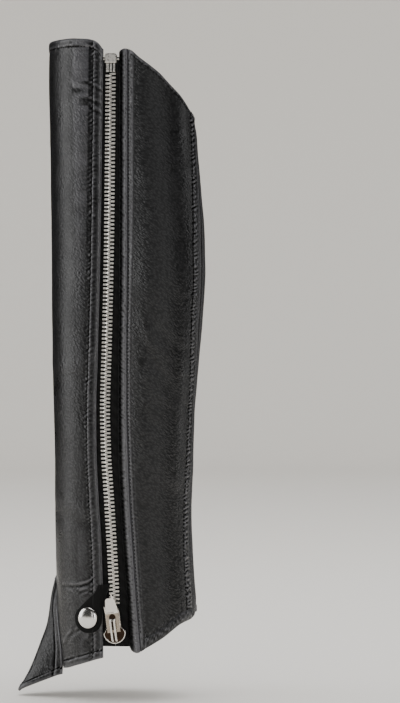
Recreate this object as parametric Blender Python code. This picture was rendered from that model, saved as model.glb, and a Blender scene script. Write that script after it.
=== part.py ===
# Half chap for the left leg, filled out as when worn: black leather panels, a ribbed stretch gusset at the calf,
# a pointed toe piece and a metal zip with its slider at the bottom.
# Metres, +Z up, -X to the front of the shin, -Y to the outer side; the origin is the middle of the tube at the calf.
# The tables and the sizes below are in millimetres, and angles are degrees round the leg, from the shin to the outer side.
import math
from bisect import bisect_right
from collections import namedtuple

import bmesh
import bpy
from mathutils import Matrix, Vector

MM = 0.001
LEATHER = 1.6
TAPE = 1.0
STRAP = 1.2
SEAM = 0.3  # gap between two pieces that are sewn together or lie on each other

FOLD = 6.0  # width of a turned and stitched edge
FOLD_RISE = 0.6
GROOVE = 0.45  # depth of the line of stitches
EDGE_ROUND = 1.2
LAP_RISE = 0.9  # the front panel's edge over the rear inner panel
STRIP_RISE = 1.3
BAND_RISE = 0.9

RIBS = 9
RIB_RISE = 1.5
GUSSET_SINK = 1.1

CHAIN_WIDTH = 7.8
CHAIN_OUT, CHAIN_IN = -0.6, -4.2
CHAIN_LOW = -261.4  # where the chain enters the slider
TAPE_OUT = -LEATHER - SEAM
TAPE_GAP = 4.65  # from the middle of the chain to the edge of each tape
TAPE_UNDER = 8.0  # how far a tape reaches under its panel
TAPE_LOW, TAPE_HIGH = -291.0, 141.0

Section = namedtuple("Section", "height front back depth")
SECTIONS = (
    Section(162, -58.5, 49.3, 99.0),
    Section(129, -59.0, 49.9, 100.0),
    Section(93, -58.5, 51.0, 101.5),
    Section(45, -57.7, 54.7, 104.0),
    Section(9, -57.2, 57.4, 105.5),
    Section(-15, -57.0, 57.7, 105.5),
    Section(-51, -56.8, 55.6, 103.0),
    Section(-87, -56.3, 52.5, 99.0),
    Section(-123, -55.5, 49.6, 96.0),
    Section(-159, -54.9, 48.6, 94.0),
    Section(-195, -54.5, 47.4, 92.0),
    Section(-231, -54.0, 48.7, 91.0),
    Section(-267, -53.2, 51.0, 91.0),
    Section(-321, -52.5, 51.7, 91.0),
)

Edge = namedtuple("Edge", "angle height")
RIM = (
    Edge(-180, 93.5),
    Edge(-150, 101.5),
    Edge(-139, 106.0),
    Edge(-120, 118.5),
    Edge(-105, 130.0),
    Edge(-91, 136.2),
    Edge(-88, 139.0),
    Edge(-60, 150.5),
    Edge(-40, 155.0),
    Edge(0, 156.0),
    Edge(45, 156.0),
    Edge(62, 155.0),
    Edge(69, 153.5),
    Edge(73, 151.0),
    Edge(76.5, 147.0),
    Edge(88, 143.5),
    Edge(90.6, 146.0),
    Edge(94, 147.2),
    Edge(98, 146.2),
    Edge(105.5, 140.8),
    Edge(122.4, 129.8),
    Edge(132, 122.2),
    Edge(144, 114.5),
    Edge(158, 104.8),
    Edge(171, 98.5),
    Edge(180, 93.5),
)
HEM = (
    Edge(-180, -270.0),
    Edge(-150, -271.2),
    Edge(-136, -276.3),
    Edge(-121, -280.5),
    Edge(-106, -283.5),
    Edge(-90, -286.8),
    Edge(93, -291.0),
    Edge(95.4, -294.4),
    Edge(99.5, -295.8),
    Edge(106, -292.9),
    Edge(120, -286.4),
    Edge(143, -275.8),
    Edge(165, -272.6),
    Edge(180, -270.0),
)
# The front panel's lower edge, which opens in a V over the instep for the toe piece
FRONT_HEM = (
    Edge(-90, -286.8),
    Edge(-75, -291.0),
    Edge(-57, -295.0),
    Edge(-53, -294.0),
    Edge(-45, -283.0),
    Edge(-33, -267.0),
    Edge(-15, -252.0),
    Edge(-5, -241.5),
    Edge(0, -240.4),
    Edge(3, -246.0),
    Edge(7, -260.0),
    Edge(17, -282.0),
    Edge(23, -296.0),
    Edge(26, -309.4),
    Edge(47, -305.6),
    Edge(69, -300.0),
    Edge(77, -298.3),
)

# What runs down the outer side, each as its place before (-) or behind (+) the origin, as seen from that side
Zip = namedtuple("Zip", "height panel chain strip seam")
ZIP = (
    Zip(149, -16.9, -11.4, -5.2, 1.3),
    Zip(73, -18.0, -12.0, -5.2, 1.3),
    Zip(0, -19.1, -12.9, -5.2, 1.3),
    Zip(-73, -21.0, -14.6, -5.9, 0.7),
    Zip(-117, -22.4, -15.9, -6.2, 0.7),
    Zip(-147, -22.2, -15.2, -6.0, 1.5),
    Zip(-183, -20.6, -12.9, -4.5, 2.8),
    Zip(-220, -18.4, -10.7, -2.5, 5.2),
    Zip(-256, -17.5, -9.0, 0.5, 7.6),
    Zip(-297, -17.4, -8.0, 2.7, 11.0),
)
Back = namedtuple("Back", "height outer inner")
BACK = (
    Back(150, 170, 211),
    Back(93, 168, 212),
    Back(45, 162, 217),
    Back(0, 157, 220),
    Back(-51, 158.5, 217.5),
    Back(-87, 163, 212),
    Back(-123, 167, 209),
    Back(-159, 165, 205),
    Back(-195, 163.5, 199),
    Back(-231, 160.5, 190),
    Back(-280, 160.5, 185),
)
INNER_SEAM = -88.5  # where the front panel laps over the rear inner panel
# Columns of the front panel between its turned edges, with one at each corner of the V over the instep
FRONT_COLUMNS = (-76, -66, -57, -53, -49, -45, -39, -33, -24, -15, -9, -5, 0, 3, 5, 7, 12, 17, 23, 26, 32, 40, 49, 57)

Toe = namedtuple("Toe", "step nose nose_height outer outer_height inner inner_height")
TOE = (
    Toe(0, -54.2, -242.6, 1.0, -244.6, -3.5, -243.2),
    Toe(1, -57.4, -256.0, 10.0, -259.0, -20.0, -252.0),
    Toe(2, -60.5, -277.0, 19.0, -277.0, -38.0, -267.0),
    Toe(3, -66.0, -293.0, 25.5, -292.5, -50.5, -283.0),
    Toe(4, -73.5, -312.0, 29.0, -302.0, -56.0, -290.0),
    Toe(5, -82.5, -328.5, 30.5, -309.2, -60.0, -295.5),
)
TOE_KEEL = 0.2  # roundness of the toe's front ridge, as a share of its half width
TOE_UNDER = -LEATHER - 0.7  # the toe's outer border, tucked under the front panel
TOE_TIP = 0.2  # step by which the inner border has risen over the front panel
TOE_OVER = LEATHER + 0.6  # the toe's inner border, folded over the front panel

HEM_BAND_START = 106.0
HEM_BAND = 8.2

Strap = namedtuple("Strap", "height front back")
SNAP_STRAP = (
    Strap(-245.6, -20.3, -11.9),
    Strap(-248.6, -21.4, -13.0),
    Strap(-251.5, -22.9, -14.1),
    Strap(-255.2, -26.6, -15.2),
    Strap(-258.8, -30.2, -16.0),
    Strap(-262.5, -33.5, -16.7),
    Strap(-265.4, -36.1, -17.1),
    Strap(-269.8, -37.9, -17.4),
    Strap(-273.5, -37.7, -17.8),
    Strap(-277.1, -36.2, -19.3),
    Strap(-280.0, -33.5, -21.8),
    Strap(-281.5, -30.4, -25.0),
)
SNAP_PLACE = (-28.4, -269.8)
SNAP_RADIUS = 7.3
SNAP_DOME = 2.6
SNAP_RING = 0.9

BOX_TOP, BOX_BOTTOM, BOX_WIDTH = 143.6, 136.6, 8.7
PINS_BOTTOM, PINS_WIDTH = 130.0, 6.8

SLIDER_TOP, SLIDER_BOTTOM = (-10.3, -265.0), (-7.8, -285.6)  # two places on the slider's middle line
NOSE_END, SHOULDER = 12.2, -5.4
NOSE_HALF, SHOULDER_HALF, SHOULDER_DROP = 5.3, 8.0, 8.0
OUTER_PLATE = (-1.5, 1.6)
INNER_PLATE = (-6.0, -4.0)
POST_RADIUS, POST_PLACE = 2.4, -8.5
BRIDGE_TOP, BRIDGE_BOTTOM, BRIDGE_WIDTH = 5.0, -11.6, 3.8
BRIDGE_CLEAR, BRIDGE_BAR = 2.7, 1.5  # free height under the bridge, and its thickness
TAB_AXIS = (-4.1, 2.85)  # up the slider and out of it
TAB_THICK, TAB_HALF, TAB_BAR = 1.2, 4.8, 1.6
TAB_BEND, TAB_END, TAB_TILT = 9.4, 20.5, 22.0
TAB_HOLE_HALF, TAB_HOLE_END = 2.4, 8.6

FINISHES = {
    "black_leather": ((0.012, 0.012, 0.013), 0.42, 0.0),
    "black_stretch": ((0.010, 0.010, 0.011), 0.55, 0.0),
    "black_textile": ((0.006, 0.006, 0.006), 0.9, 0.0),
    "nickel": ((0.72, 0.69, 0.65), 0.22, 1.0),
}


def material(name):
    made = bpy.data.materials.get(name)
    if made:
        return made
    colour, roughness, metallic = FINISHES[name]
    made = bpy.data.materials.new(name)
    made.use_nodes = True
    shader = made.node_tree.nodes["Principled BSDF"]
    shader.inputs["Base Color"].default_value = (*colour, 1.0)
    shader.inputs["Roughness"].default_value = roughness
    shader.inputs["Metallic"].default_value = metallic
    return made


def collection(name):
    made = bpy.data.collections.new(name)
    bpy.context.scene.collection.children.link(made)
    return made


def keep(bm, name, finish, place=None):
    """Turns a mesh in millimetres into an object of the half chap."""
    bmesh.ops.scale(bm, vec=(MM, MM, MM), verts=bm.verts)
    bmesh.ops.recalc_face_normals(bm, faces=bm.faces)
    mesh = bpy.data.meshes.new(name)
    bm.to_mesh(mesh)
    bm.free()
    mesh.shade_smooth()
    mesh.set_sharp_from_angle(angle=math.radians(40))
    mesh.materials.append(material(finish))
    made = bpy.data.objects.new(name, mesh)
    CHAP.objects.link(made)
    if place:
        made.matrix_world = place
    return made


def steepness(xs, ys, i):
    """Slope of a table at its row i: flat where the table turns, so that nothing overshoots."""
    if i in (0, len(xs) - 1):
        j = min(i, len(xs) - 2)
        return (ys[j + 1] - ys[j]) / (xs[j + 1] - xs[j])
    before = (ys[i] - ys[i - 1]) / (xs[i] - xs[i - 1])
    after = (ys[i + 1] - ys[i]) / (xs[i + 1] - xs[i])
    return 0.0 if before * after <= 0 else 2 * before * after / (before + after)


COLUMNS = {}


def read(table, key, value, column):
    """The smooth value of a table's column where its key column is value."""
    if (id(table), column) not in COLUMNS:
        rows = sorted(table, key=lambda row: getattr(row, key))
        xs = [getattr(row, key) for row in rows]
        ys = [getattr(row, column) for row in rows]
        slopes = [steepness(xs, ys, i) for i in range(len(xs))]
        COLUMNS[id(table), column] = xs, ys, slopes
    xs, ys, slopes = COLUMNS[id(table), column]
    value = min(max(value, xs[0]), xs[-1])
    i = min(bisect_right(xs, value) - 1, len(xs) - 2)
    width = xs[i + 1] - xs[i]
    t = (value - xs[i]) / width
    start = (1 + 2 * t) * (1 - t) ** 2 * ys[i] + t * (1 - t) ** 2 * width * slopes[i]
    end = t * t * (3 - 2 * t) * ys[i + 1] + t * t * (t - 1) * width * slopes[i + 1]
    return start + end


def ease(value, start, end):
    t = min(max((value - start) / (end - start), 0.0), 1.0)
    return t * t * (3 - 2 * t)


def ring(height):
    """Middle, half width and half depth of the leg's section."""
    front = read(SECTIONS, "height", height, "front")
    back = read(SECTIONS, "height", height, "back")
    return (front + back) / 2, (back - front) / 2, read(SECTIONS, "height", height, "depth") / 2


def outward(angle, height):
    _, half, deep = ring(height)
    turn = math.radians(angle)
    return Vector((-math.cos(turn) / half, -math.sin(turn) / deep, 0)).normalized()


def tube(angle, height, out=0.0):
    middle, half, deep = ring(height)
    turn = math.radians(angle)
    place = Vector((middle - half * math.cos(turn), -deep * math.sin(turn), height))
    return place + outward(angle, height) * out


def angle_of(x, height):
    """Angle on the outer side of what is seen there at x."""
    middle, half, _ = ring(height)
    return math.degrees(math.acos(min(max((middle - x) / half, -1.0), 1.0)))


def turned(distance, height):
    """Degrees round the leg for a distance along it."""
    _, half, deep = ring(height)
    return math.degrees(2 * distance / (half + deep))


def edge(table, angle):
    angle = angle - 360 if angle > 180 else angle
    return read(table, "angle", angle, "height")


def fold(distance, rise=FOLD_RISE):
    """Relief of a turned edge: rounded at the edge, raised over the turned leather, sunk along its stitches."""
    rounding = 0.5 * max(1 - distance / EDGE_ROUND, 0.0) ** 2
    groove = GROOVE * math.exp(-(((distance - FOLD) / 0.9) ** 2))
    return rise * (1 - ease(distance, FOLD - 0.5, FOLD + 1.5)) - rounding - groove


def shifted(side, distance):
    """A column that follows a side of a panel at a distance."""
    return lambda height: side(height) + turned(distance, height)


def fixed(angle):
    return lambda height: angle


def spread(start, end, parts):
    """Columns that part the width between two others evenly."""

    def column(share):
        return lambda height: start(height) + share * (end(height) - start(height))

    return [column(i / parts) for i in range(1, parts)]


def columns(left, near, parts, far, right):
    """Columns of a panel: at the distances near from its left side, evenly, and at the distances far from its right."""
    first = [shifted(left, d) for d in near]
    last = [shifted(right, -d) for d in reversed(far)]
    return first + spread(first[-1], last[0], parts) + last


def stops(start, parts, end):
    """Rows up a panel as (share of its height, distance): near its low end, in equal parts, near its top."""
    inner = []
    for i in range(1, parts):
        share = i / parts
        inner.append((share, (1 - share) * start[-1] - share * end[-1]))
    return [(0.0, d) for d in start] + inner + [(1.0, -d) for d in reversed(end)]


PLAIN = (0.0,)
FOLDED = (0.0, EDGE_ROUND, FOLD - 1.4, FOLD, FOLD + 1.5)


def wall(name, columns, rows, place, finish="black_leather"):
    """A closed wall over a grid of columns and rows; place(i, j, outside) gives its points in millimetres."""
    bm = bmesh.new()
    bmesh.ops.create_grid(bm, x_segments=columns - 1, y_segments=rows - 1, size=0.5)
    inside = list(bm.verts)
    grown = bmesh.ops.extrude_face_region(bm, geom=bm.faces[:], use_keep_orig=True)
    outside = [g for g in grown["geom"] if isinstance(g, bmesh.types.BMVert)]
    for verts, is_outside in ((inside, False), (outside, True)):
        for vert in verts:
            i = round((vert.co.x + 0.5) * (columns - 1))
            j = round((vert.co.y + 0.5) * (rows - 1))
            vert.co = place(i, j, is_outside)
    return keep(bm, name, finish)


def panel(name, across, low, high, up, relief, base=0.0, thick=LEATHER, finish="black_leather"):
    """A panel of the tube: each column of across gives an angle by height, low and high its ends by angle."""

    def end_height(column, limit, height):
        for _ in range(8):
            height = limit(column(height))
        return height

    ends = [(end_height(column, low, -290.0), end_height(column, high, 130.0)) for column in across]

    def place(i, j, is_outside):
        bottom, top = ends[i]
        share, distance = up[j]
        height = bottom + share * (top - bottom) + distance
        angle = across[i](height)
        out = base - thick
        if is_outside:
            out = base + relief(angle, height, height - bottom, top - height)
        return tube(angle, height, out)

    return wall(name, len(across), len(up), place, finish)


def zip_angle(column):
    return lambda height: angle_of(read(ZIP, "height", height, column), height)


def from_edge(angle, limit, height):
    """Distance along the leg from an edge given as an angle."""
    _, half, deep = ring(height)
    return math.radians(abs(angle - limit)) * (half + deep) / 2


# Panels

front_edge = zip_angle("panel")
chain_line = zip_angle("chain")
strip_edge = zip_angle("strip")
strip_seam = zip_angle("seam")


def back_outer(height):
    return read(BACK, "height", height, "outer")


def back_inner(height):
    return read(BACK, "height", height, "inner")


def front_relief(angle, height, above, below):
    over_instep = ease(angle, -60, -54) * (1 - ease(angle, 25, 31))
    lap = fold(from_edge(angle, INNER_SEAM, height), LAP_RISE) if angle < 0 else 0.0
    zip_fold = fold(from_edge(angle, front_edge(height), height)) if angle > 0 else 0.0
    hem = fold(above) * (1 - over_instep)
    return min(lap + zip_fold + hem + fold(below), LAP_RISE)


def add_front_panel():
    start = [shifted(fixed(INNER_SEAM), d) for d in (SEAM / 2,) + FOLDED[1:]]
    end = [shifted(front_edge, -d) for d in reversed(FOLDED)]
    panel(
        "front_panel",
        start + [fixed(angle) for angle in FRONT_COLUMNS] + end,
        lambda angle: edge(FRONT_HEM, angle),
        lambda angle: edge(RIM, angle),
        stops(FOLDED, 13, FOLDED),
        front_relief,
    )


def add_medial_panel():
    def relief(angle, height, above, below):
        back = fold(from_edge(angle, back_inner(height), height))
        return back + fold(above) + fold(below)

    left, right = shifted(back_inner, SEAM / 2), shifted(fixed(360 + INNER_SEAM), -SEAM / 2)
    panel(
        "medial_panel",
        columns(left, FOLDED, 7, PLAIN, right),
        lambda angle: edge(HEM, angle),
        lambda angle: edge(RIM, angle),
        stops(FOLDED, 13, FOLDED),
        relief,
    )


def lateral_low(angle):
    """The lateral panel's lower edge steps up behind the corner to make room for the hem band."""
    return edge(HEM, angle) + (HEM_BAND if angle > HEM_BAND_START else 0.0)


def add_lateral_panel():
    def relief(angle, height, above, below):
        back = fold(from_edge(angle, back_outer(height), height))
        front = 0.4 * math.exp(-(((from_edge(angle, strip_seam(height), height) - 2.0) / 1.4) ** 2))
        return back + front + fold(below)

    start = [shifted(strip_seam, d) for d in (SEAM / 2, 2.0, 4.0)]
    step = [fixed(HEM_BAND_START - 0.2), fixed(HEM_BAND_START + 0.2)]
    end = [shifted(back_outer, -d) for d in reversed((SEAM / 2,) + FOLDED[1:])]
    panel(
        "lateral_panel",
        start + step + spread(step[-1], end[0], 8) + end,
        lateral_low,
        lambda angle: edge(RIM, angle),
        stops((0.0, 2.0), 18, FOLDED),
        relief,
    )


def add_lateral_zip_strip():
    def relief(angle, height, above, below):
        start, end = strip_edge(height), strip_seam(height)
        share = (angle - start) / (end - start)
        return STRIP_RISE * math.sin(math.pi * min(max(share, 0.0), 1.0)) ** 0.7 - 0.3

    panel(
        "lateral_zip_strip",
        columns(strip_edge, PLAIN, 6, PLAIN, shifted(strip_seam, -SEAM / 2)),
        lambda angle: edge(HEM, angle),
        lambda angle: edge(RIM, angle),
        stops(PLAIN, 20, PLAIN),
        relief,
    )


def add_lateral_hem_band():
    def relief(angle, height, above, below):
        return BAND_RISE * math.sin(math.pi * min(max(above / (above + below), 0.0), 1.0)) ** 0.6 - 0.2

    panel(
        "lateral_hem_band",
        columns(fixed(HEM_BAND_START + 0.4), PLAIN, 12, PLAIN, shifted(back_outer, -SEAM / 2)),
        lambda angle: edge(HEM, angle),
        lambda angle: edge(HEM, angle) + HEM_BAND - SEAM,
        stops(PLAIN, 4, PLAIN),
        relief,
    )


def add_calf_gusset():
    def relief(angle, height, above, below):
        start, end = back_outer(height), back_inner(height)
        turn = RIBS * (angle - start) / (end - start)
        inside_rib = 2 * (turn - math.floor(turn)) - 1
        ends = min(ease(above, 0, 10), ease(below, 0, 8))
        return RIB_RISE * (1 - inside_rib**2) * (0.35 + 0.65 * ends)

    panel(
        "calf_gusset",
        columns(shifted(back_outer, SEAM), PLAIN, 4 * RIBS, PLAIN, shifted(back_inner, -SEAM)),
        lambda angle: edge(HEM, angle),
        lambda angle: edge(RIM, angle),
        stops((0.0, 5.0), 18, (0.0, 5.0)),
        relief,
        base=-GUSSET_SINK,
        finish="black_stretch",
    )


def cut_angle(height, side):
    """Where the front panel's V is cut at a height, on its outer (1) or inner (-1) side."""
    near, far = (0.0, 26.0) if side > 0 else (0.0, -53.0)
    for _ in range(24):
        middle = (near + far) / 2
        if edge(FRONT_HEM, middle) > height:
            near = middle
        else:
            far = middle
    return abs((near + far) / 2)


def toe_point(step, across, out=0.0):
    """Point of the toe piece: step runs from its top to its hem, across from its outer (1) to its inner (-1) border."""
    side = "outer" if across > 0 else "inner"
    share = abs(across)
    nose = read(TOE, "step", step, "nose")
    nose_height = read(TOE, "step", step, "nose_height")
    border = read(TOE, "step", step, side)
    height = nose_height + (read(TOE, "step", step, side + "_height") - nose_height) * share**1.2
    angle = border * share
    cut = cut_angle(height, 1 if across > 0 else -1)
    if across > 0:
        out += TOE_UNDER * ease(angle, cut - 4.0, cut - 1.2)
    else:
        out += TOE_OVER * ease(-angle, cut - 5.5, cut - 1.5) * ease(step, 0, TOE_TIP)
    flank = min(abs(angle) / max(cut - 1.2, 1.5), 1.0)
    round_nose = math.sqrt(flank**2 + TOE_KEEL**2) - TOE_KEEL
    reach = 1 - round_nose / (math.sqrt(1 + TOE_KEEL**2) - TOE_KEEL)
    forward = tube(0, height).x - nose
    return tube(angle, height, out) - Vector((forward * reach, 0, 0))


def add_toe_piece():
    columns = 23
    rows = 16

    def place(i, j, is_outside):
        across = 2 * i / (columns - 1) - 1
        step = TOE[-1].step * (1 - j / (rows - 1)) ** 1.5  # rows closer together at its narrow top
        place = toe_point(step, across)
        if is_outside:
            return place
        small = 0.01
        step_from, step_to = max(step - small, 0), min(step + small, 5)
        side_from, side_to = max(across - small, -1), min(across + small, 1)
        down = toe_point(step_to, across) - toe_point(step_from, across)
        round_leg = toe_point(step, side_to) - toe_point(step, side_from)
        return place + round_leg.cross(down).normalized() * LEATHER

    wall("toe_piece", columns, rows, place)


# Zip


def flat(angle, height, above, below):
    return 0.0


def add_zip_tape(name, left, right):
    panel(
        name,
        columns(left, PLAIN, 3, PLAIN, right),
        lambda angle: TAPE_LOW,
        lambda angle: TAPE_HIGH,
        stops(PLAIN, 24, PLAIN),
        flat,
        base=TAPE_OUT,
        thick=TAPE,
        finish="black_textile",
    )


def add_zip_tapes():
    add_zip_tape("zip_tape_front", shifted(front_edge, -TAPE_UNDER), shifted(chain_line, -TAPE_GAP))
    add_zip_tape("zip_tape_rear", shifted(chain_line, TAPE_GAP), shifted(strip_edge, TAPE_UNDER - 3))


def frame_at(x, height, lean_x, lean_height):
    """Frame on the outer side: x round the leg to the back, y up along the zip, z out of the leather."""
    angle = angle_of(x, height)
    out = outward(angle, height)
    far = tube(angle_of(lean_x, lean_height), lean_height)
    up = far - tube(angle, height)
    up = (up - out * up.dot(out)).normalized()
    back = up.cross(out)
    place = Matrix((back, up, out)).transposed().to_4x4()
    place.translation = tube(angle, height) * MM
    return place


def add_zip_chain():
    half = CHAIN_WIDTH / 2
    panel(
        "zip_chain",
        columns(shifted(chain_line, -half), PLAIN, 2, PLAIN, shifted(chain_line, half)),
        lambda angle: CHAIN_LOW,
        lambda angle: PINS_BOTTOM - SEAM,
        stops(PLAIN, 28, PLAIN),
        flat,
        base=CHAIN_OUT,
        thick=CHAIN_OUT - CHAIN_IN,
        finish="nickel",
    )


def block(name, place, width, length, low, high, finish, round_edge=0.5):
    bm = bmesh.new()
    bmesh.ops.create_cube(bm, size=1.0)
    bmesh.ops.scale(bm, vec=(width, length, high - low), verts=bm.verts)
    bmesh.ops.translate(bm, vec=(0, 0, (low + high) / 2), verts=bm.verts)
    bmesh.ops.bevel(bm, geom=bm.edges, offset=round_edge, segments=2, profile=0.5, affect="EDGES", material=-1)
    return keep(bm, name, finish, place)


def chain_frame(height):
    x = read(ZIP, "height", height, "chain")
    return frame_at(x, height, read(ZIP, "height", height + 5, "chain"), height + 5)


def add_zip_box():
    middle = (BOX_TOP + BOX_BOTTOM) / 2
    block("zip_box", chain_frame(middle), BOX_WIDTH, BOX_TOP - BOX_BOTTOM, CHAIN_IN - 0.3, 0.5, "nickel", 1.0)
    top = BOX_BOTTOM - SEAM
    middle = (top + PINS_BOTTOM) / 2
    block("zip_pins", chain_frame(middle), PINS_WIDTH, top - PINS_BOTTOM, CHAIN_IN, CHAIN_OUT + 0.3, "nickel")


def plate(outlines, low, high):
    """Mesh of flat outlines, in millimetres, raised from low to high; an outline inside another is a hole."""
    curve = bpy.data.curves.new("outline", "CURVE")
    curve.dimensions = "2D"
    curve.fill_mode = "BOTH"
    curve.extrude = (high - low) / 2
    for outline in outlines:
        spline = curve.splines.new("POLY")
        spline.points.add(len(outline) - 1)
        for point, (x, y) in zip(spline.points, outline):
            point.co = (x, y, 0, 1)
        spline.use_cyclic_u = True
    drawn = bpy.data.objects.new("outline", curve)
    bpy.context.scene.collection.objects.link(drawn)
    bpy.context.view_layer.update()
    mesh = bpy.data.meshes.new_from_object(drawn.evaluated_get(bpy.context.evaluated_depsgraph_get()))
    bpy.data.objects.remove(drawn)
    bpy.data.curves.remove(curve)
    bm = bmesh.new()
    bm.from_mesh(mesh)
    bpy.data.meshes.remove(mesh)
    bmesh.ops.remove_doubles(bm, verts=bm.verts, dist=0.001)
    bmesh.ops.translate(bm, vec=(0, 0, (low + high) / 2), verts=bm.verts)
    return bm


def arc(centre, radii, start, end, parts):
    points = []
    for i in range(parts + 1):
        turn = math.radians(start + (end - start) * i / parts)
        points.append((centre[0] + radii[0] * math.cos(turn), centre[1] + radii[1] * math.sin(turn)))
    return points


def slider_outline():
    """A narrow nose with round corners, then wide round shoulders."""
    corner = 1.4
    nose = NOSE_END - corner
    left = arc((-NOSE_HALF + corner, nose), (corner, corner), 90, 180, 3)
    right = arc((NOSE_HALF - corner, nose), (corner, corner), 0, 90, 3)
    shoulders = arc((0, SHOULDER), (SHOULDER_HALF, SHOULDER_DROP), 180, 360, 14)
    return left + [(-NOSE_HALF, SHOULDER + 4.2)] + shoulders + [(NOSE_HALF, SHOULDER + 4.2)] + right


def add_slider_body(place):
    """Two plates held apart by a post, with a bridge along the outer one that holds the pull tab."""
    body = keep(plate([slider_outline()], *OUTER_PLATE), "slider_body", "nickel", place)
    joined = [("slider_inner_plate", plate([slider_outline()], *INNER_PLATE))]
    post = bmesh.new()
    depth = OUTER_PLATE[1] - INNER_PLATE[0] - 1.0
    bmesh.ops.create_cone(
        post, cap_ends=True, segments=16, radius1=POST_RADIUS, radius2=POST_RADIUS, depth=depth
    )
    middle = (OUTER_PLATE[1] + INNER_PLATE[0]) / 2
    bmesh.ops.translate(post, vec=(0, POST_PLACE, middle), verts=post.verts)
    joined.append(("slider_post", post))
    floor = OUTER_PLATE[1]
    foot = floor - 0.8
    inner, outer = floor + BRIDGE_CLEAR, floor + BRIDGE_CLEAR + BRIDGE_BAR
    low, high = BRIDGE_BOTTOM, BRIDGE_TOP
    bar = BRIDGE_BAR
    arch = [(low, foot), (low, outer - 1.2), (low + 1.2, outer), (high - 1.2, outer), (high, outer - 1.2)]
    arch += [(high, foot), (high - bar, foot), (high - bar, inner), (low + bar, inner), (low + bar, foot)]
    bridge = plate([arch], -BRIDGE_WIDTH / 2, BRIDGE_WIDTH / 2)
    stand = Matrix(((0, 0, 1), (1, 0, 0), (0, 1, 0))).to_4x4()
    bmesh.ops.transform(bridge, matrix=stand, verts=bridge.verts)
    joined.append(("slider_bridge", bridge))
    for name, bm in joined:
        tool = keep(bm, name, "nickel", place)
        CHAP.objects.unlink(tool)
        TOOLS.objects.link(tool)
        tool.hide_render = True
        tool.display_type = "WIRE"
        join = body.modifiers.new(name, "BOOLEAN")
        join.operation = "UNION"
        join.object = tool


def add_pull_tab(place):
    """A flat tab with an eye round the bridge, folded up over the chain, its free end bent out."""
    hinge = TAB_AXIS[0]
    half = TAB_HALF
    low, end = -TAB_BAR / 2, TAB_END - hinge
    bend = TAB_BEND - hinge
    corner = 2.2
    outline = [(-half, low), (half, low), (half, bend), (half - 0.8, end - corner)]
    outline += arc((half - 0.8 - corner, end - corner), (corner, corner), 0, 90, 4)
    outline += arc((-half + 1.6 + corner, end - corner), (corner, corner), 90, 180, 4) + [(-half, bend)]
    hole_top = TAB_HOLE_END - hinge - TAB_HOLE_HALF
    hole = arc((0, hole_top), (TAB_HOLE_HALF, TAB_HOLE_HALF), 0, 180, 8)
    hole += [(-TAB_HOLE_HALF, TAB_BAR / 2), (TAB_HOLE_HALF, TAB_BAR / 2)]
    bm = plate([outline, hole], -TAB_THICK / 2, TAB_THICK / 2)
    bmesh.ops.bisect_plane(bm, geom=bm.verts[:] + bm.edges[:] + bm.faces[:], plane_co=(0, bend, 0), plane_no=(0, 1, 0))
    tilt = math.tan(math.radians(TAB_TILT))
    for vert in bm.verts:
        vert.co.z += max(vert.co.y - bend, 0.0) * tilt
    axis = place @ Matrix.Translation(Vector((0, hinge, TAB_AXIS[1])) * MM)
    keep(bm, "pull_tab", "nickel", axis)


def add_slider():
    middle = (SLIDER_TOP[0] + SLIDER_BOTTOM[0]) / 2, (SLIDER_TOP[1] + SLIDER_BOTTOM[1]) / 2
    place = frame_at(*middle, *SLIDER_TOP)
    add_slider_body(place)
    add_pull_tab(place)


# Snap


def strap_out(x, height):
    """The strap lies on the front panel, over its turned edge and down to the chain."""
    angle = angle_of(x, height)
    on_panel = front_relief(min(angle, front_edge(height)), height, 20, 400)
    past = ease(x, read(ZIP, "height", height, "panel") + 0.3, -12.5)
    return (1 - past) * (SEAM + max(on_panel, 0.0)) + past * (CHAIN_OUT + SEAM)


def add_snap_strap():
    columns = 9
    parts = 2
    rows = (len(SNAP_STRAP) - 1) * parts + 1

    def place(i, j, is_outside):
        k = min(j // parts, len(SNAP_STRAP) - 2)
        share = j / parts - k
        height = SNAP_STRAP[k].height + share * (SNAP_STRAP[k + 1].height - SNAP_STRAP[k].height)
        front = read(SNAP_STRAP, "height", height, "front")
        back = read(SNAP_STRAP, "height", height, "back")
        x = front + (back - front) * i / (columns - 1)
        return tube(angle_of(x, height), height, strap_out(x, height) + (STRAP if is_outside else 0.0))

    wall("snap_strap", columns, rows, place, "black_textile")


def add_snap_cap():
    """A turned dome over a thin ring."""
    x, height = SNAP_PLACE
    base = strap_out(x, height) + STRAP + SEAM
    profile = arc((0, base + SNAP_RING), (SNAP_RADIUS, SNAP_DOME), 90, 0, 7) + [(SNAP_RADIUS - 0.5, base), (0, base)]
    bm = bmesh.new()
    verts = [bm.verts.new((x, 0, z)) for x, z in profile]
    edges = [bm.edges.new(pair) for pair in zip(verts, verts[1:])]
    bmesh.ops.spin(
        bm, geom=verts + edges, cent=(0, 0, 0), axis=(0, 0, 1), angle=math.tau, steps=24, use_merge=True
    )
    bmesh.ops.remove_doubles(bm, verts=bm.verts, dist=0.001)
    keep(bm, "snap_cap", "nickel", frame_at(x, height, x, height + 5))


for old in list(bpy.data.objects):
    bpy.data.objects.remove(old)
CHAP = collection("half_chap")
TOOLS = collection("joined_shapes")
add_front_panel()
add_medial_panel()
add_lateral_panel()
add_lateral_zip_strip()
add_lateral_hem_band()
add_calf_gusset()
add_toe_piece()
add_zip_tapes()
add_zip_chain()
add_zip_box()
add_slider()
add_snap_strap()
add_snap_cap()
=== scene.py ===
# Half chap for the left leg, filled out as worn: black leather panels, a ribbed stretch gusset at the calf,
# a pointed toe piece and a nickel zip with its slider at the bottom.
# Tables are in millimetres and in degrees round the leg, from the shin (0) over the outer side (90) to the calf.
import math
from bisect import bisect_right
from functools import lru_cache

import bmesh
import bpy
from mathutils import Matrix, Vector, noise


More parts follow.
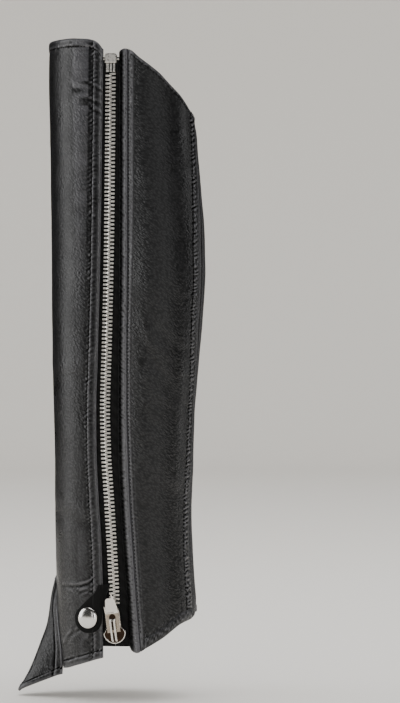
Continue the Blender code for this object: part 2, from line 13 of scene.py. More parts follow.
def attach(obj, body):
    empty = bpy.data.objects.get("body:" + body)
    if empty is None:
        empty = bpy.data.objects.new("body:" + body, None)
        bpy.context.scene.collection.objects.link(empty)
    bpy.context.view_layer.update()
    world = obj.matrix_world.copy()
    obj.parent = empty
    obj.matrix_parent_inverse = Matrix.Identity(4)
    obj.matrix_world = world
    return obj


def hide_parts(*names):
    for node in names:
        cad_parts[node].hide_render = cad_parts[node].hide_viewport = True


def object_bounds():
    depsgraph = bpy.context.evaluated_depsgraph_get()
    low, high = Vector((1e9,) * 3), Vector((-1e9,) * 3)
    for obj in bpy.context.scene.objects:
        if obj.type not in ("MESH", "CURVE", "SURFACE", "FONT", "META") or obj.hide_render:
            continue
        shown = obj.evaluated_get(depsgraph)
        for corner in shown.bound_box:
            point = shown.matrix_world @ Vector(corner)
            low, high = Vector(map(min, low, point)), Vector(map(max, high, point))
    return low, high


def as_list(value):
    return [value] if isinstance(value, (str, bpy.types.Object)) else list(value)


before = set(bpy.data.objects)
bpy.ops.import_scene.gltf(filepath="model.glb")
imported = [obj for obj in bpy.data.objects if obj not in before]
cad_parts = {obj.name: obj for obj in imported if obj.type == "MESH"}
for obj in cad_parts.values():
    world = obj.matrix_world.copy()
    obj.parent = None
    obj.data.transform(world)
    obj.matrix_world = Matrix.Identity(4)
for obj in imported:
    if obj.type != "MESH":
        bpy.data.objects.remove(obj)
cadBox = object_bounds()
print("frame loaded")

mm = 0.001


def addObject(name, data):
    made = bpy.data.objects.new(name, data)
    bpy.context.scene.collection.objects.link(made)
    return made


# Camera, square on to the outer side
view = {"place": (0.054, -2.0, -0.0746), "lens": 136.56, "sensor": 36.0}
camera = addObject("camera", bpy.data.cameras.new("camera"))
camera.location = view["place"]
camera.rotation_euler = (math.radians(90), 0, 0)
camera.data.lens = view["lens"]
camera.data.sensor_width = view["sensor"]
bpy.context.scene.camera = camera

# Materials


def hexColour(text):
    parts = [int(text[i : i + 2], 16) / 255 for i in (1, 3, 5)]
    return [c / 12.92 if c <= 0.04045 else ((c + 0.055) / 1.055) ** 2.4 for c in parts] + [1.0]


def feed(tree, node, links):  # from sockets, or from the first output of nodes
    for name, source in links.items():
        tree.links.new(source if isinstance(source, bpy.types.NodeSocket) else source.outputs[0], node.inputs[name])


def addNode(tree, kind, settings=None, links=None):
    node = tree.nodes.new("ShaderNode" + kind)
    for name, value in (settings or {}).items():
        if isinstance(name, int) or name in node.inputs:
            node.inputs[name].default_value = value
        else:
            setattr(node, name, value)
    feed(tree, node, links or {})
    return node


def spread(low, high, least, most):  # settings of a map range
    return {"From Min": low, "From Max": high, "To Min": least, "To Max": most}


def newMaterial(name, settings):
    material = bpy.data.materials.new(name)
    material.use_nodes = True
    tree = material.node_tree
    shader = tree.nodes["Principled BSDF"]
    for socket, value in settings.items():
        shader.inputs[socket].default_value = value
    return material, tree, shader


def grainLeather(name, grain):
    # pebbled cowhide, drum dyed and lightly glazed: soft broad shine, broken up by the grain
    material, tree, shader = newMaterial(name, {})
    place = addNode(tree, "TexCoord").outputs["Object"]
    turn, size = (0, math.radians(grain["slant"]), 0), (1, 1, 1 / grain["stretch"])
    slanted = addNode(tree, "Mapping", {"vector_type": "TEXTURE", "Rotation": turn, "Scale": size}, {"Vector": place})
    drift = addNode(tree, "TexNoise", {"Scale": 170, "Detail": 2}, {"Vector": place}).outputs["Color"]
    warp = {"blend_type": "LINEAR_LIGHT", "Fac": grain["warp"]}
    warped = addNode(tree, "MixRGB", warp, {"Color1": slanted, "Color2": drift})
    cells = {"feature": "SMOOTH_F1", "Scale": 1000 / grain["pebble"], "Smoothness": 0.25}
    pebbles = addNode(tree, "TexVoronoi", cells, {"Vector": warped})
    bumps = addNode(tree, "MapRange", spread(0.1, 0.75, 1, 0), {"Value": pebbles})
    uneven = addNode(tree, "TexNoise", {"Scale": 260, "Detail": 3, "Roughness": 0.6}, {"Vector": place})
    height = addNode(tree, "Math", {"operation": "MULTIPLY_ADD", 1: grain["uneven"]}, {0: uneven, 2: bumps})
    bump = addNode(tree, "Bump", {"Strength": 1.0, "Distance": grain["depth"] * mm}, {"Height": height})
    patches = addNode(tree, "TexNoise", {"Scale": 45, "Detail": 4, "Roughness": 0.65}, {"Vector": place})
    rough = addNode(tree, "MapRange", spread(0.3, 0.7, *grain["roughness"]), {"Value": patches})
    # painted shade: seams, puckers and hollows are darkened and their shine damped; painted highlight, partly rubbed
    # wear: folds and edges are made lighter and shinier
    shadeAndWear = addNode(tree, "Attribute", {"attribute_name": "shadeAndWear"}).outputs["Fac"]
    clearOfShade = addNode(tree, "MapRange", spread(-0.28, -0.02, 0.03, 1), {"Value": shadeAndWear})
    highlightAndWear = addNode(tree, "MapRange", spread(0.04, 0.28, 0, 1), {"Value": shadeAndWear})
    dark, light, highlightAndWearColour, shadeColour = (hexColour(c) for c in grain["colours"])
    tint = addNode(tree, "MixRGB", {"Color1": dark, "Color2": light}, {"Fac": bumps})
    paler = addNode(tree, "MixRGB", {"Color2": highlightAndWearColour}, {"Fac": highlightAndWear, "Color1": tint})
    shadedTint = addNode(tree, "MixRGB", {"Color1": shadeColour}, {"Fac": clearOfShade, "Color2": paler})
    shine = addNode(tree, "MapRange", spread(0, 1, *grain["specular"]), {"Value": bumps})
    lifted = addNode(tree, "Math", {"operation": "MULTIPLY_ADD", 1: 0.35}, {0: highlightAndWear, 2: shine})
    even = addNode(tree, "Math", {"operation": "MULTIPLY"}, {0: lifted, 1: clearOfShade})
    feed(tree, shader, {"Base Color": shadedTint, "Roughness": rough, "Specular IOR Level": even, "Normal": bump})
    return material


def matteCover(name, look):
    material, tree, shader = newMaterial(name, look["surface"])
    place = addNode(tree, "TexCoord").outputs["Object"]
    pattern = addNode(tree, look["kind"], look["pattern"], {"Vector": place}).outputs["Fac"]
    strength, depth = look["bump"]
    made = {"Normal": addNode(tree, "Bump", {"Strength": strength, "Distance": depth * mm}, {"Height": pattern})}
    if "colours" in look:
        dark, light = (hexColour(c) for c in look["colours"])
        made["Base Color"] = addNode(tree, "MixRGB", {"Color1": dark, "Color2": light}, {"Fac": pattern})
    feed(tree, shader, made)
    return material


def nickelPlate(name, finish):
    # nickel plated and tumbled: warm grey metal with soft scratches, in tones that also serve as painted shade in
    # hollows and painted highlight on bright faces
    material, tree, shader = newMaterial(name, {"Metallic": 1.0})
    place = addNode(tree, "TexCoord").outputs["Object"]
    scuffs = addNode(tree, "TexNoise", {"Scale": 500, "Detail": 5, "Roughness": 0.7}, {"Vector": place})
    dark, light = (hexColour(c) for c in finish["colours"])
    tint = addNode(tree, "MixRGB", {"Color1": dark, "Color2": light}, {"Fac": scuffs})
    rough = addNode(tree, "MapRange", spread(0.35, 0.65, *finish["roughness"]), {"Value": scuffs})
    bump = addNode(tree, "Bump", {"Strength": finish["scuffs"], "Distance": 0.03 * mm}, {"Height": scuffs})
    feed(tree, shader, {"Base Color": tint, "Roughness": rough, "Normal": bump})
    return material


# pebbles 2.4 mm across, drawn out on a slant, coarser than the real grain so that they show
# the last two colours are the painted highlight, partly wear, on edges and folds, and the painted shade in seams and
# hollows
leather = grainLeather("pebbled cowhide", {
    "pebble": 2.4, "stretch": 1.9, "slant": 36, "warp": 0.0013, "uneven": 0.22, "depth": 0.15,
    "roughness": (0.26, 0.41), "specular": (0.35, 0.575), "colours": ("#050506", "#0c0c0e", "#3c3c40", "#010101"),
})
softLeather = grainLeather("soft stretch leather", {
    "pebble": 1.4, "stretch": 1.2, "slant": 0, "warp": 0.0013, "uneven": 0.22, "depth": 0.18,
    "roughness": (0.31, 0.46), "specular": (0.315, 0.5175), "colours": ("#040405", "#0d0d0f", "#2b2b2e", "#010101"),
})
flesh = matteCover("flesh side", {  # the rough inner side of the hide: no shine, a short nap
    "surface": {"Roughness": 0.95, "Specular IOR Level": 0.15, "Sheen Weight": 0.25, "Sheen Roughness": 0.5},
    "kind": "TexNoise", "pattern": {"Scale": 900, "Detail": 4, "Roughness": 0.7}, "bump": (0.6, 0.2),
    "colours": ("#141414", "#262525"),
})
tape = matteCover("woven polyester tape", {  # tight zip tape, 0.7 mm a rib: matte and nearly black
    "surface": {"Roughness": 0.85, "Specular IOR Level": 0.2},
    "kind": "TexWave", "pattern": {"bands_direction": "DIAGONAL", "Scale": 1000 / 0.7 / 20, "Distortion": 0.4},
    "bump": (0.6, 0.12), "colours": ("#060606", "#101010"),
})
strapCloth = matteCover("brushed microfibre", {  # suede-like snap strap: flat black with a faint nap
    "surface": {"Roughness": 0.9, "Specular IOR Level": 0.12, "Sheen Weight": 0.08},
    "kind": "TexNoise", "pattern": {"Scale": 1500, "Detail": 3}, "bump": (0.5, 0.1), "colours": ("#070707", "#121212"),
})
thread = matteCover("waxed nylon thread", {  # twisted and sunk in its groove: dull dark dashes
    "surface": {"Base Color": hexColour("#020202"), "Roughness": 0.6, "Specular IOR Level": 0.12},
    "kind": "TexNoise", "pattern": {"Scale": 1400, "Detail": 1}, "bump": (0.5, 0.1),
})
# one nickel in several tones: the bright one is painted highlight on rims and faces turned to the light, the dark one
# painted shade in hollows and slots
nickels = {
    "tumbled nickel teeth": {"colours": ("#cfcac2", "#f1ede6"), "roughness": (0.24, 0.36), "scuffs": 0.3},
    "nickel plated slider": {"colours": ("#9d9081", "#bcb0a1"), "roughness": (0.23, 0.37), "scuffs": 0.12},
    "nickel painted bright as highlight": {"colours": ("#d9d3ca", "#f3efe9"), "roughness": (0.15, 0.25), "scuffs": 0.08},
    "nickel painted dark as shade in the hollow": {"colours": ("#241b15", "#4a3a2e"), "roughness": (0.35, 0.55), "scuffs": 0.2},
    "polished nickel cap": {"colours": ("#e0ddd8", "#efece8"), "roughness": (0.15, 0.21), "scuffs": 0.06},
}
toothNickel, sliderNickel, highlightNickel, shadedHollowNickel, capNickel = (nickelPlate(*item) for item in nickels.items())
sheetKinds = {  # the slot of a sheet, with the end of its name and its materials, the inner side's last
    "leather": ("_leather", [leather, flesh]),
    "stretch_leather": ("_leather", [softLeather, flesh]),
    "textile": ("_cloth", [tape]),
    "strap": ("_cloth", [strapCloth]),
}
print("materials made")

# Form of the leg and the outlines of the panels, as in the part's source

leg = {
    "height": (162, 129, 93, 45, 9, -15, -51, -87, -123, -159, -195, -231, -267, -321),
    "front": (-58.5, -59.0, -58.5, -57.7, -57.2, -57.0, -56.8, -56.3, -55.5, -54.9, -54.5, -54.0, -53.2, -52.5),
    "back": (49.3, 49.9, 51.0, 54.7, 57.4, 57.7, 55.6, 52.5, 49.6, 48.6, 47.4, 48.7, 51.0, 51.7),
    "depth": (99.0, 100.0, 101.5, 104.0, 105.5, 105.5, 103.0, 99.0, 96.0, 94.0, 92.0, 91.0, 91.0, 91.0),
}
rim = {
    "angle": (-180, -150, -139, -120, -105, -91, -88, -60, -40, 0, 45, 62, 69, 73, 76.5, 88, 90.6, 94, 98, 105.5,
              122.4, 132, 144, 158, 171, 180),
    "height": (93.5, 101.5, 106.0, 118.5, 130.0, 136.2, 139.0, 150.5, 155.0, 156.0, 156.0, 155.0, 153.5, 151.0,
               147.0, 143.5, 146.0, 147.2, 146.2, 140.8, 129.8, 122.2, 114.5, 104.8, 98.5, 93.5),
}
hem = {
    "angle": (-180, -150, -136, -121, -106, -90, 93, 95.4, 99.5, 106, 120, 143, 165, 180),
    "height": (-270.0, -271.2, -276.3, -280.5, -283.5, -286.8, -291.0, -294.4, -295.8, -292.9, -286.4, -275.8,
               -272.6, -270.0),
}
frontHem = {
    "angle": (-90, -75, -57, -53, -45, -33, -15, -5, 0, 3, 7, 17, 23, 26, 47, 69, 77),
    "height": (-286.8, -291.0, -295.0, -294.0, -283.0, -267.0, -252.0, -241.5, -240.4, -246.0, -260.0, -282.0,
               -296.0, -309.4, -305.6, -300.0, -298.3),
}
zipLines = {
    "height": (149, 73, 0, -73, -117, -147, -183, -220, -256, -297),
    "panel": (-16.9, -18.0, -19.1, -21.0, -22.4, -22.2, -20.6, -18.4, -17.5, -17.4),
    "chain": (-11.4, -12.0, -12.9, -14.6, -15.9, -15.2, -12.9, -10.7, -9.0, -8.0),
    "strip": (-5.2, -5.2, -5.2, -5.9, -6.2, -6.0, -4.5, -2.5, 0.5, 2.7),
    "seam": (1.3, 1.3, 1.3, 0.7, 0.7, 1.5, 2.8, 5.2, 7.6, 11.0),
}
backLines = {
    "height": (150, 93, 45, 0, -51, -87, -123, -159, -195, -231, -280),
    "outer": (170, 168, 162, 157, 158.5, 163, 167, 165, 163.5, 160.5, 160.5),
    "inner": (211, 212, 217, 220, 217.5, 212, 209, 205, 199, 190, 185),
}
toe = {
    "step": (0, 1, 2, 3, 4, 5),
    "nose": (-54.2, -57.4, -60.5, -66.0, -73.5, -82.5),
    "noseHeight": (-242.6, -256.0, -277.0, -293.0, -312.0, -328.5),
    "outer": (1.0, 10.0, 19.0, 25.5, 29.0, 30.5),
    "outerHeight": (-244.6, -259.0, -277.0, -292.5, -302.0, -309.2),
    "inner": (-3.5, -20.0, -38.0, -50.5, -56.0, -60.0),
    "innerHeight": (-243.2, -252.0, -267.0, -283.0, -290.0, -295.5),
}
snapStrap = {
    "height": (-245.6, -248.6, -251.5, -255.2, -258.8, -262.5, -265.4, -269.8, -273.5, -277.1, -280.0, -281.5),
    "front": (-20.3, -21.4, -22.9, -26.6, -30.2, -33.5, -36.1, -37.9, -37.7, -36.2, -33.5, -30.4),
    "back": (-11.9, -13.0, -14.1, -15.2, -16.0, -16.7, -17.1, -17.4, -17.8, -19.3, -21.8, -25.0),
}
cloth = {  # fold is the width of a turned edge
    "thick": 1.6, "seam": 0.3, "fold": 6.0, "foldRise": 0.6, "lapRise": 0.9, "groove": 0.95, "innerSeam": -88.5,
    "hemBand": 8.2, "hemBandStart": 106.0,
}


def slope(xs, ys, i):
    if i in (0, len(xs) - 1):
        j = min(i, len(xs) - 2)
        return (ys[j + 1] - ys[j]) / (xs[j + 1] - xs[j])
    before = (ys[i] - ys[i - 1]) / (xs[i] - xs[i - 1])
    after = (ys[i + 1] - ys[i]) / (xs[i + 1] - xs[i])
    return 0.0 if before * after <= 0 else 2 * before * after / (before + after)


smoothed = {}


def smoothRead(table, column, value, key="height"):
    if (id(table), column) not in smoothed:
        pairs = sorted(zip(table[key], table[column]))
        xs, ys = [p[0] for p in pairs], [p[1] for p in pairs]
        smoothed[id(table), column] = xs, ys, [slope(xs, ys, i) for i in range(len(xs))]
    xs, ys, slopes = smoothed[id(table), column]
    value = min(max(value, xs[0]), xs[-1])
    i = min(bisect_right(xs, value) - 1, len(xs) - 2)
    width = xs[i + 1] - xs[i]
    t = (value - xs[i]) / width
    start = (1 + 2 * t) * (1 - t) ** 2 * ys[i] + t * (1 - t) ** 2 * width * slopes[i]
    end = t * t * (3 - 2 * t) * ys[i + 1] + t * t * (t - 1) * width * slopes[i + 1]
    return start + end


def ease(value, start, end):
    t = min(max((value - start) / (end - start), 0.0), 1.0)
    return t * t * (3 - 2 * t)


@lru_cache(maxsize=4096)
def ring(height):
    front, back = smoothRead(leg, "front", height), smoothRead(leg, "back", height)
    return (front + back) / 2, (back - front) / 2, smoothRead(leg, "depth", height) / 2


def outward(angle, height):
    _, half, deep = ring(height)
    turn = math.radians(angle)
    return Vector((-math.cos(turn) / half, -math.sin(turn) / deep, 0)).normalized()


def tube(angle, height, out=0.0):
    middle, half, deep = ring(height)
    turn = math.radians(angle)
    return Vector((middle - half * math.cos(turn), -deep * math.sin(turn), height)) + outward(angle, height) * out


def angleOf(x, height):
    middle, half, _ = ring(height)
    return math.degrees(math.acos(min(max((middle - x) / half, -1.0), 1.0)))


def roundLeg(degrees, height):  # length round the leg for an angle
    _, half, deep = ring(height)
    return math.radians(degrees) * (half + deep) / 2


def turned(distance, height):
    return distance / roundLeg(1.0, height)


def edgeLine(table):
    return lambda angle: smoothRead(table, "height", angle - 360 if angle > 180 else angle, "angle")


def zipAngle(column):
    return lru_cache(maxsize=4096)(lambda height: angleOf(smoothRead(zipLines, column, height), height))


def backAngle(column):
    return lru_cache(maxsize=4096)(lambda height: smoothRead(backLines, column, height))


def shifted(side, distance):
    return lambda height: side(height) + turned(distance, height)


def fixed(angle):
    return lambda height: angle


rimLine, hemLine, frontHemLine = (edgeLine(table) for table in (rim, hem, frontHem))
frontEdge, chainLine, stripEdge, stripSeam = (zipAngle(c) for c in ("panel", "chain", "strip", "seam"))
backOuter, backInner = (backAngle(c) for c in ("outer", "inner"))

# How leather bends, folds and gathers


def fold(distance, rise=cloth["foldRise"], width=cloth["fold"], groove=cloth["groove"], along=None, roll=(0.55, 1.2)):
    rounding = roll[0] * max(1 - distance / roll[1], 0.0) ** 2
    sewn = groove * math.exp(-(((distance - width) / 0.6) ** 2))
    if along is not None:  # deepest where the needle went through
        sewn *= 0.7 + 0.3 * math.cos(math.tau * along / stitch["pitch"])
    return rise * (1 - ease(distance, width - 0.5, width + 1.5)) - rounding - sewn


def gathers(along, across, pucker):  # small uneven puckers that the thread pulls into the leather beside it
    seed, pitch, width, depth, lean = pucker
    if abs(across) > 3 * width:
        return 0.0
    drift = noise.noise((along / 9.0, seed, 0.0))
    size = 0.6 + 0.9 * noise.noise((along / 7.0, seed + 9.0, 0.0))
    wave = math.sin(math.tau * (along / pitch + 1.1 * drift + lean * across / pitch))
    crumple = noise.noise((along / 1.5, across / 1.9, seed))
    return depth * (0.6 * size * wave + crumple) * math.exp(-((across / width) ** 2))


def turnedEdge(distance, along, pucker, width=cloth["fold"], nearer=0.0, **shape):  # a sewn fold with its puckers
    return fold(distance, width=width, along=along, **shape) + gathers(along, distance - width + nearer, pucker)


def hollows(point, height):  # slow unevenness of a hide over the leg
    slow = noise.noise((point.x / 38, point.y / 38, height / 55))
    middle = noise.noise((point.x / 13 + 7, point.y / 13, height / 17))
    return 0.34 * slow + 0.12 * middle


def creaseRelief(table, place, height):
    total = 0.0
    for x, z, lean, length, width, depth in zip(*table.values()):
        dx, dz = place - x, height - z
        if abs(dz) > length or abs(dx) > length:
            continue
        turn = math.radians(lean)
        ahead = dx * math.cos(turn) + dz * math.sin(turn)
        aside = dz * math.cos(turn) - dx * math.sin(turn) - 0.012 * ahead * ahead
        fade = math.exp(-((2.2 * ahead / length) ** 2))
        total -= depth * math.exp(-((aside / width) ** 2)) * fade
        total += 0.5 * depth * math.exp(-(((aside - 1.8 * width) / width) ** 2)) * fade
    return total


def settled(total, edges, angle, height, creases, most=1.2):  # adds the hide's own relief, calm beside the edges
    point = tube(angle, height)
    total += hollows(point, height) * ease(min(edges), 0, 12)
    if creases:
        total += creaseRelief(creases, point.x, height)
    return min(total, most)


# Walls over a grid of columns and rows


def toMesh(bm, name):
    mesh = bpy.data.meshes.new(name)
    bm.to_mesh(mesh)
    bm.free()
    return mesh


def mergeInto(bm, part):
    mesh = toMesh(part, "part")
    bm.from_mesh(mesh)
    bpy.data.meshes.remove(mesh)


def keepMesh(bm, name, materials, stands=None, body="chap", smooth=True):
    # stands: the node that the piece replaces, which is hidden, and its material slot, which is not used
    bmesh.ops.scale(bm, vec=(mm, mm, mm), verts=bm.verts)
    mesh = toMesh(bm, name)
    if smooth:
        mesh.shade_smooth()
    for material in materials:
        mesh.materials.append(material)
    piece = addObject(name, mesh)
    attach(piece, body)
    if stands:
        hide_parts(stands[0])
    return piece


def stepsOver(points, reach):  # for each point of a row, the ones at least that far before and after it
    steps = []
    for k, point in enumerate(points):
        before = after = k
        while before > 0 and (points[before] - point).length < reach:
            before -= 1
        while after < len(points) - 1 and (points[after] - point).length < reach:
            after += 1
        steps.append((before, after))
    return steps


def markShadeAndWear(bm, grid, columns, rows, borders, paintedLight, reach=1.3):  # above zero where the surface stands out, below zero in hollows: painted highlight and painted shade in the leather's colour
    shadeAndWear = bm.verts.layers.float["shadeAndWear"]
    across = stepsOver([grid[i, rows // 2].co for i in range(columns)], reach)
    up = stepsOver([grid[columns // 2, j].co for j in range(rows)], reach)
    for (i, j), vert in grid.items():
        total = 0.0
        for near, border in zip(across[i], borders[:2]):
            total += border if near == i else (vert.co - grid[near, j].co).dot(vert.normal)
        for far, border in zip(up[j], borders[2:]):
            total += border if far == j else (vert.co - grid[i, far].co).dot(vert.normal)
        vert[shadeAndWear] = total / 4 + (paintedLight(i / (columns - 1)) if paintedLight else 0.0)


def extruded(bm, faces, **options):
    grown = bmesh.ops.extrude_face_region(bm, geom=faces, **options)
    return [g for g in grown["geom"] if isinstance(g, bmesh.types.BMVert)]


def gridWall(node, kind, columns, rows, place, borders=(1.4,) * 4, paintedLight=None):
    # borders: painted highlight, partly wear, above zero or painted shade below zero at the left, right, low and high
    # edge; the function of columns adds more of both
    ending, materials = sheetKinds[kind]
    bm = bmesh.new()
    bm.verts.layers.float.new("shadeAndWear")
    bmesh.ops.create_grid(bm, x_segments=columns - 1, y_segments=rows - 1, size=0.5)
    inside, insideFaces = list(bm.verts), list(bm.faces)
    outside = extruded(bm, bm.faces[:], use_keep_orig=True)
    for face in insideFaces:
        face.material_index = len(materials) - 1
    grid = {}
    for verts, isOutside in ((inside, False), (outside, True)):
        for vert in verts:
            i, j = round((vert.co.x + 0.5) * (columns - 1)), round((vert.co.y + 0.5) * (rows - 1))
            vert.co = place(i, j, isOutside)
            if isOutside:
                grid[i, j] = vert
    bmesh.ops.recalc_face_normals(bm, faces=bm.faces)
    bm.normal_update()
    markShadeAndWear(bm, grid, columns, rows, borders, paintedLight)
    return keepMesh(bm, node + ending, materials, (node, "textile" if kind == "strap" else kind))


nearEdge = (0.0, 0.25, 0.6, 1.1, 1.8, 2.8, 3.8, 4.7, 5.3, 5.7, 6.0, 6.3, 6.7, 7.3, 8.2, 9.6)
plainEdge = (0.0, 0.25, 0.6, 1.1)


def between(first, last, parts):  # columns that share out the way from one to another
    return [lambda h, share=i / parts: first(h) + share * (last(h) - first(h)) for i in range(1, parts)]


def panelColumns(left, near, step, far, right, height=0.0):
    first = [shifted(left, d) for d in near]
    last = [shifted(right, -d) for d in reversed(far)]
    parts = max(round(roundLeg(last[0](height) - first[-1](height), height) / step), 1)
    return first + between(first[-1], last[0], parts) + last


def panelRows(near, parts, far):  # each a share of the way up and a distance
    shares = [i / parts for i in range(1, parts)]
    inner = [(share, (1 - share) * near[-1] - share * far[-1]) for share in shares]
    return [(0.0, d) for d in near] + inner + [(1.0, -d) for d in reversed(far)]


def panelWall(node, kind, across, low, high, up, relief, base=0.0, thick=cloth["thick"], **shadeAndWear):
    def settle(column, limit, height):
        for _ in range(8):
            height = limit(column(height))
        return height

    ends = [(settle(column, low, -290.0), settle(column, high, 130.0)) for column in across]

    def place(i, j, isOutside):
        bottom, top = ends[i]
        share, distance = up[j]
        height = bottom + share * (top - bottom) + distance
        angle = across[i](height)
        out = base + relief(angle, height, height - bottom, top - height) if isOutside else base - thick
        return tube(angle, height, out)

    return gridWall(node, kind, len(across), len(up), place, **shadeAndWear)


# Sewing

stitch = {"pitch": 2.6, "length": 1.9, "thick": 0.75, "proud": 0.1}


def sewLine(bm, path, skin, facing=outward):  # path gives (angle, height) pairs, skin the point of the leather there
    size = Matrix.Diagonal((stitch["length"], stitch["thick"], stitch["thick"] * 0.8, 1))
    lie = Matrix.Rotation(math.pi / 2, 4, "Y")
    points = [(skin(a, h), a, h) for a, h in path]
    places, spare = [], 0.0
    for (p, a, h), (q, b, k) in zip(points, points[1:]):
        length = (q - p).length
        while spare < length:
            share = spare / length
            angle, height = a + (b - a) * share, h + (k - h) * share
            ahead = (q - p).normalized()
            out = facing(angle, height)
            out = (out - ahead * out.dot(ahead)).normalized()
            turn = Matrix((ahead, out.cross(ahead), out)).transposed().to_4x4()
            places.append(Matrix.Translation(skin(angle, height) + out * stitch["proud"]) @ turn @ size @ lie)
            spare += stitch["pitch"]
        spare -= length
    for first in range(0, len(places), 20):  # a few at a time, which is much quicker
        batch = bmesh.new()
        for place in places[first : first + 20]:
            bmesh.ops.create_uvsphere(batch, u_segments=6, v_segments=5, radius=0.5, matrix=place)
        mergeInto(bm, batch)


def sewPiece(name, skin, lines, facing=outward):
    bm = bmesh.new()
    for path in lines:
        sewLine(bm, path, skin, facing)
    return keepMesh(bm, name, [thread])


def skinOf(relief, low, high):  # the point of the leather at an angle and a height
    return lambda angle, height: tube(angle, height, relief(angle, height, height - low(angle), high(angle) - height))


def upright(column, low, high, step=3.0):
    parts = max(int((high - low) / step), 1)
    return [(column(low + (high - low) * i / parts), low + (high - low) * i / parts) for i in range(parts + 1)]


def roundEdge(line, start, end, distance, step=1.5):
    parts = max(int(abs(end - start) / step), 1)
    angles = [start + (end - start) * i / parts for i in range(parts + 1)]
    return [(a, line(a) + distance) for a in angles]


# Front panel; each row of gathers is a seed, pitch, width, depth and lean

front = {
    "zipFold": 7.2,
    "zipRoll": (1.0, 3.2),
    "zipGathers": (1.0, 3.4, 2.6, 0.3, 0.5),
    "rimGathers": (2.0, 3.6, 2.8, 0.32, 0.3),
    "lapGathers": (3.0, 3.4, 2.6, 0.3, -0.5),
    "hemGathers": (4.0, 3.6, 2.6, 0.3, 0.4),
}
frontCreases = {
    "along": (-32, -26, -24, -38, -34, -30, -25, -42, -36, -28, -44, -35, -40, -30),
    "height": (112, 104, 119, -248, -252, -246, -251, -285, -280, -287, 60, -95, -200, 30),
    "lean": (-35, -42, -30, 8, -20, 25, -8, 60, 40, 75, -20, 15, -12, 30),
    "length": (30, 24, 20, 22, 16, 14, 12, 20, 16, 14, 60, 70, 60, 44),
    "width": (1.6, 1.3, 1.2, 1.1, 1.0, 0.9, 0.8, 1.3, 1.1, 1.0, 6.0, 7.0, 6.0, 5.0),
    "depth": (0.5, 0.42, 0.34, 0.36, 0.32, 0.3, 0.28, 0.34, 0.3, 0.26, 0.35, 0.4, 0.36, 0.3),
}


def frontRelief(angle, height, above, below):
    overInstep = ease(angle, -60, -54) * (1 - ease(angle, 25, 31))
    fromZip = roundLeg(frontEdge(height) - angle, height)
    fromLap = roundLeg(angle - cloth["innerSeam"], height)
    if angle < 0:
        total = turnedEdge(fromLap, height, front["lapGathers"], rise=cloth["lapRise"])
    else:
        total = turnedEdge(fromZip, height, front["zipGathers"], front["zipFold"], roll=front["zipRoll"])
    along = roundLeg(angle, height)
    total += turnedEdge(above, along, front["hemGathers"]) * (1 - overInstep)
    total += turnedEdge(below, along, front["rimGathers"])
    return settled(total, (fromZip, fromLap, above, below), angle, height, frontCreases if angle > 0 else None)


def makeFrontPanel():
    lapSide = fixed(cloth["innerSeam"])
    corners = (-57, -53, -49, -45, -33, -15, -5, 0, 3, 7, 17, 23, 26)
    across = [shifted(lapSide, d) for d in nearEdge]
    across += [fixed(a) for a in sorted(set(corners) | set(range(-75, 53, 3)))]
    across += [shifted(frontEdge, -d * front["zipFold"] / cloth["fold"]) for d in reversed(nearEdge)]
    up = panelRows(nearEdge, 460, nearEdge)
    panel = panelWall("front_panel", "leather", across, frontHemLine, rimLine, up, frontRelief)
    sewing = sewPiece("front_panel_stitches", skinOf(frontRelief, frontHemLine, rimLine), (
        upright(shifted(frontEdge, -front["zipFold"]), -291, 140),
        upright(shifted(lapSide, cloth["fold"]), -281, 136),
        roundEdge(rimLine, -82, 70, -cloth["fold"]),
        roundEdge(frontHemLine, 31, 68, cloth["fold"]),
        roundEdge(frontHemLine, -82, -61, cloth["fold"]),
    ))
    return panel, sewing


frontPiece, frontSewing = makeFrontPanel()
print("front panel made")

# Rear inner panel

medial = {
    "backFold": 8.0,
    "backGathers": (11.0, 3.4, 3.2, 0.6, 0.5),
    "rimGathers": (12.0, 3.4, 2.6, 0.2, -0.3),
    "hemGathers": (13.0, 3.3, 2.4, 0.2, 0.4),
}
medialCreases = {
    "along": (30, 14, 24, 6, 34, 10),
    "height": (-96, -40, -180, 60, 20, -240),
    "lean": (28, 36, 20, -24, 34, -18),
    "length": (62, 48, 56, 50, 40, 36),
    "width": (4.0, 3.4, 4.6, 5.0, 3.6, 3.2),
    "depth": (0.34, 0.26, 0.28, 0.2, 0.24, 0.22),
}


def medialRelief(angle, height, above, below):
    fromBack = roundLeg(angle - backInner(height), height)
    fromLap = roundLeg(360 + cloth["innerSeam"] - angle, height)
    along = roundLeg(angle - 270, height)
    total = turnedEdge(fromBack, height, medial["backGathers"], medial["backFold"], 2.2)
    total += turnedEdge(above, along, medial["hemGathers"]) + turnedEdge(below, along, medial["rimGathers"])
    return settled(total, (fromBack, above, below, fromLap), angle, height, medialCreases)


def makeMedialPanel():
    near = [d * medial["backFold"] / cloth["fold"] for d in nearEdge]
    across = panelColumns(backInner, near, 2.6, plainEdge, fixed(360 + cloth["innerSeam"]))
    up = panelRows(nearEdge, 420, nearEdge)
    panel = panelWall("medial_panel", "leather", across, hemLine, rimLine, up, medialRelief)
    sewing = sewPiece("medial_panel_stitches", skinOf(medialRelief, hemLine, rimLine), (
        upright(shifted(backInner, medial["backFold"]), -268, 104),
        roundEdge(rimLine, 218, 270, -cloth["fold"]),
        roundEdge(hemLine, 192, 270, cloth["fold"]),
    ))
    return panel, sewing


medialPiece, medialSewing = makeMedialPanel()
print("rear inner panel made")

# Rear outer panel with the strip along the zip and the band along its hem

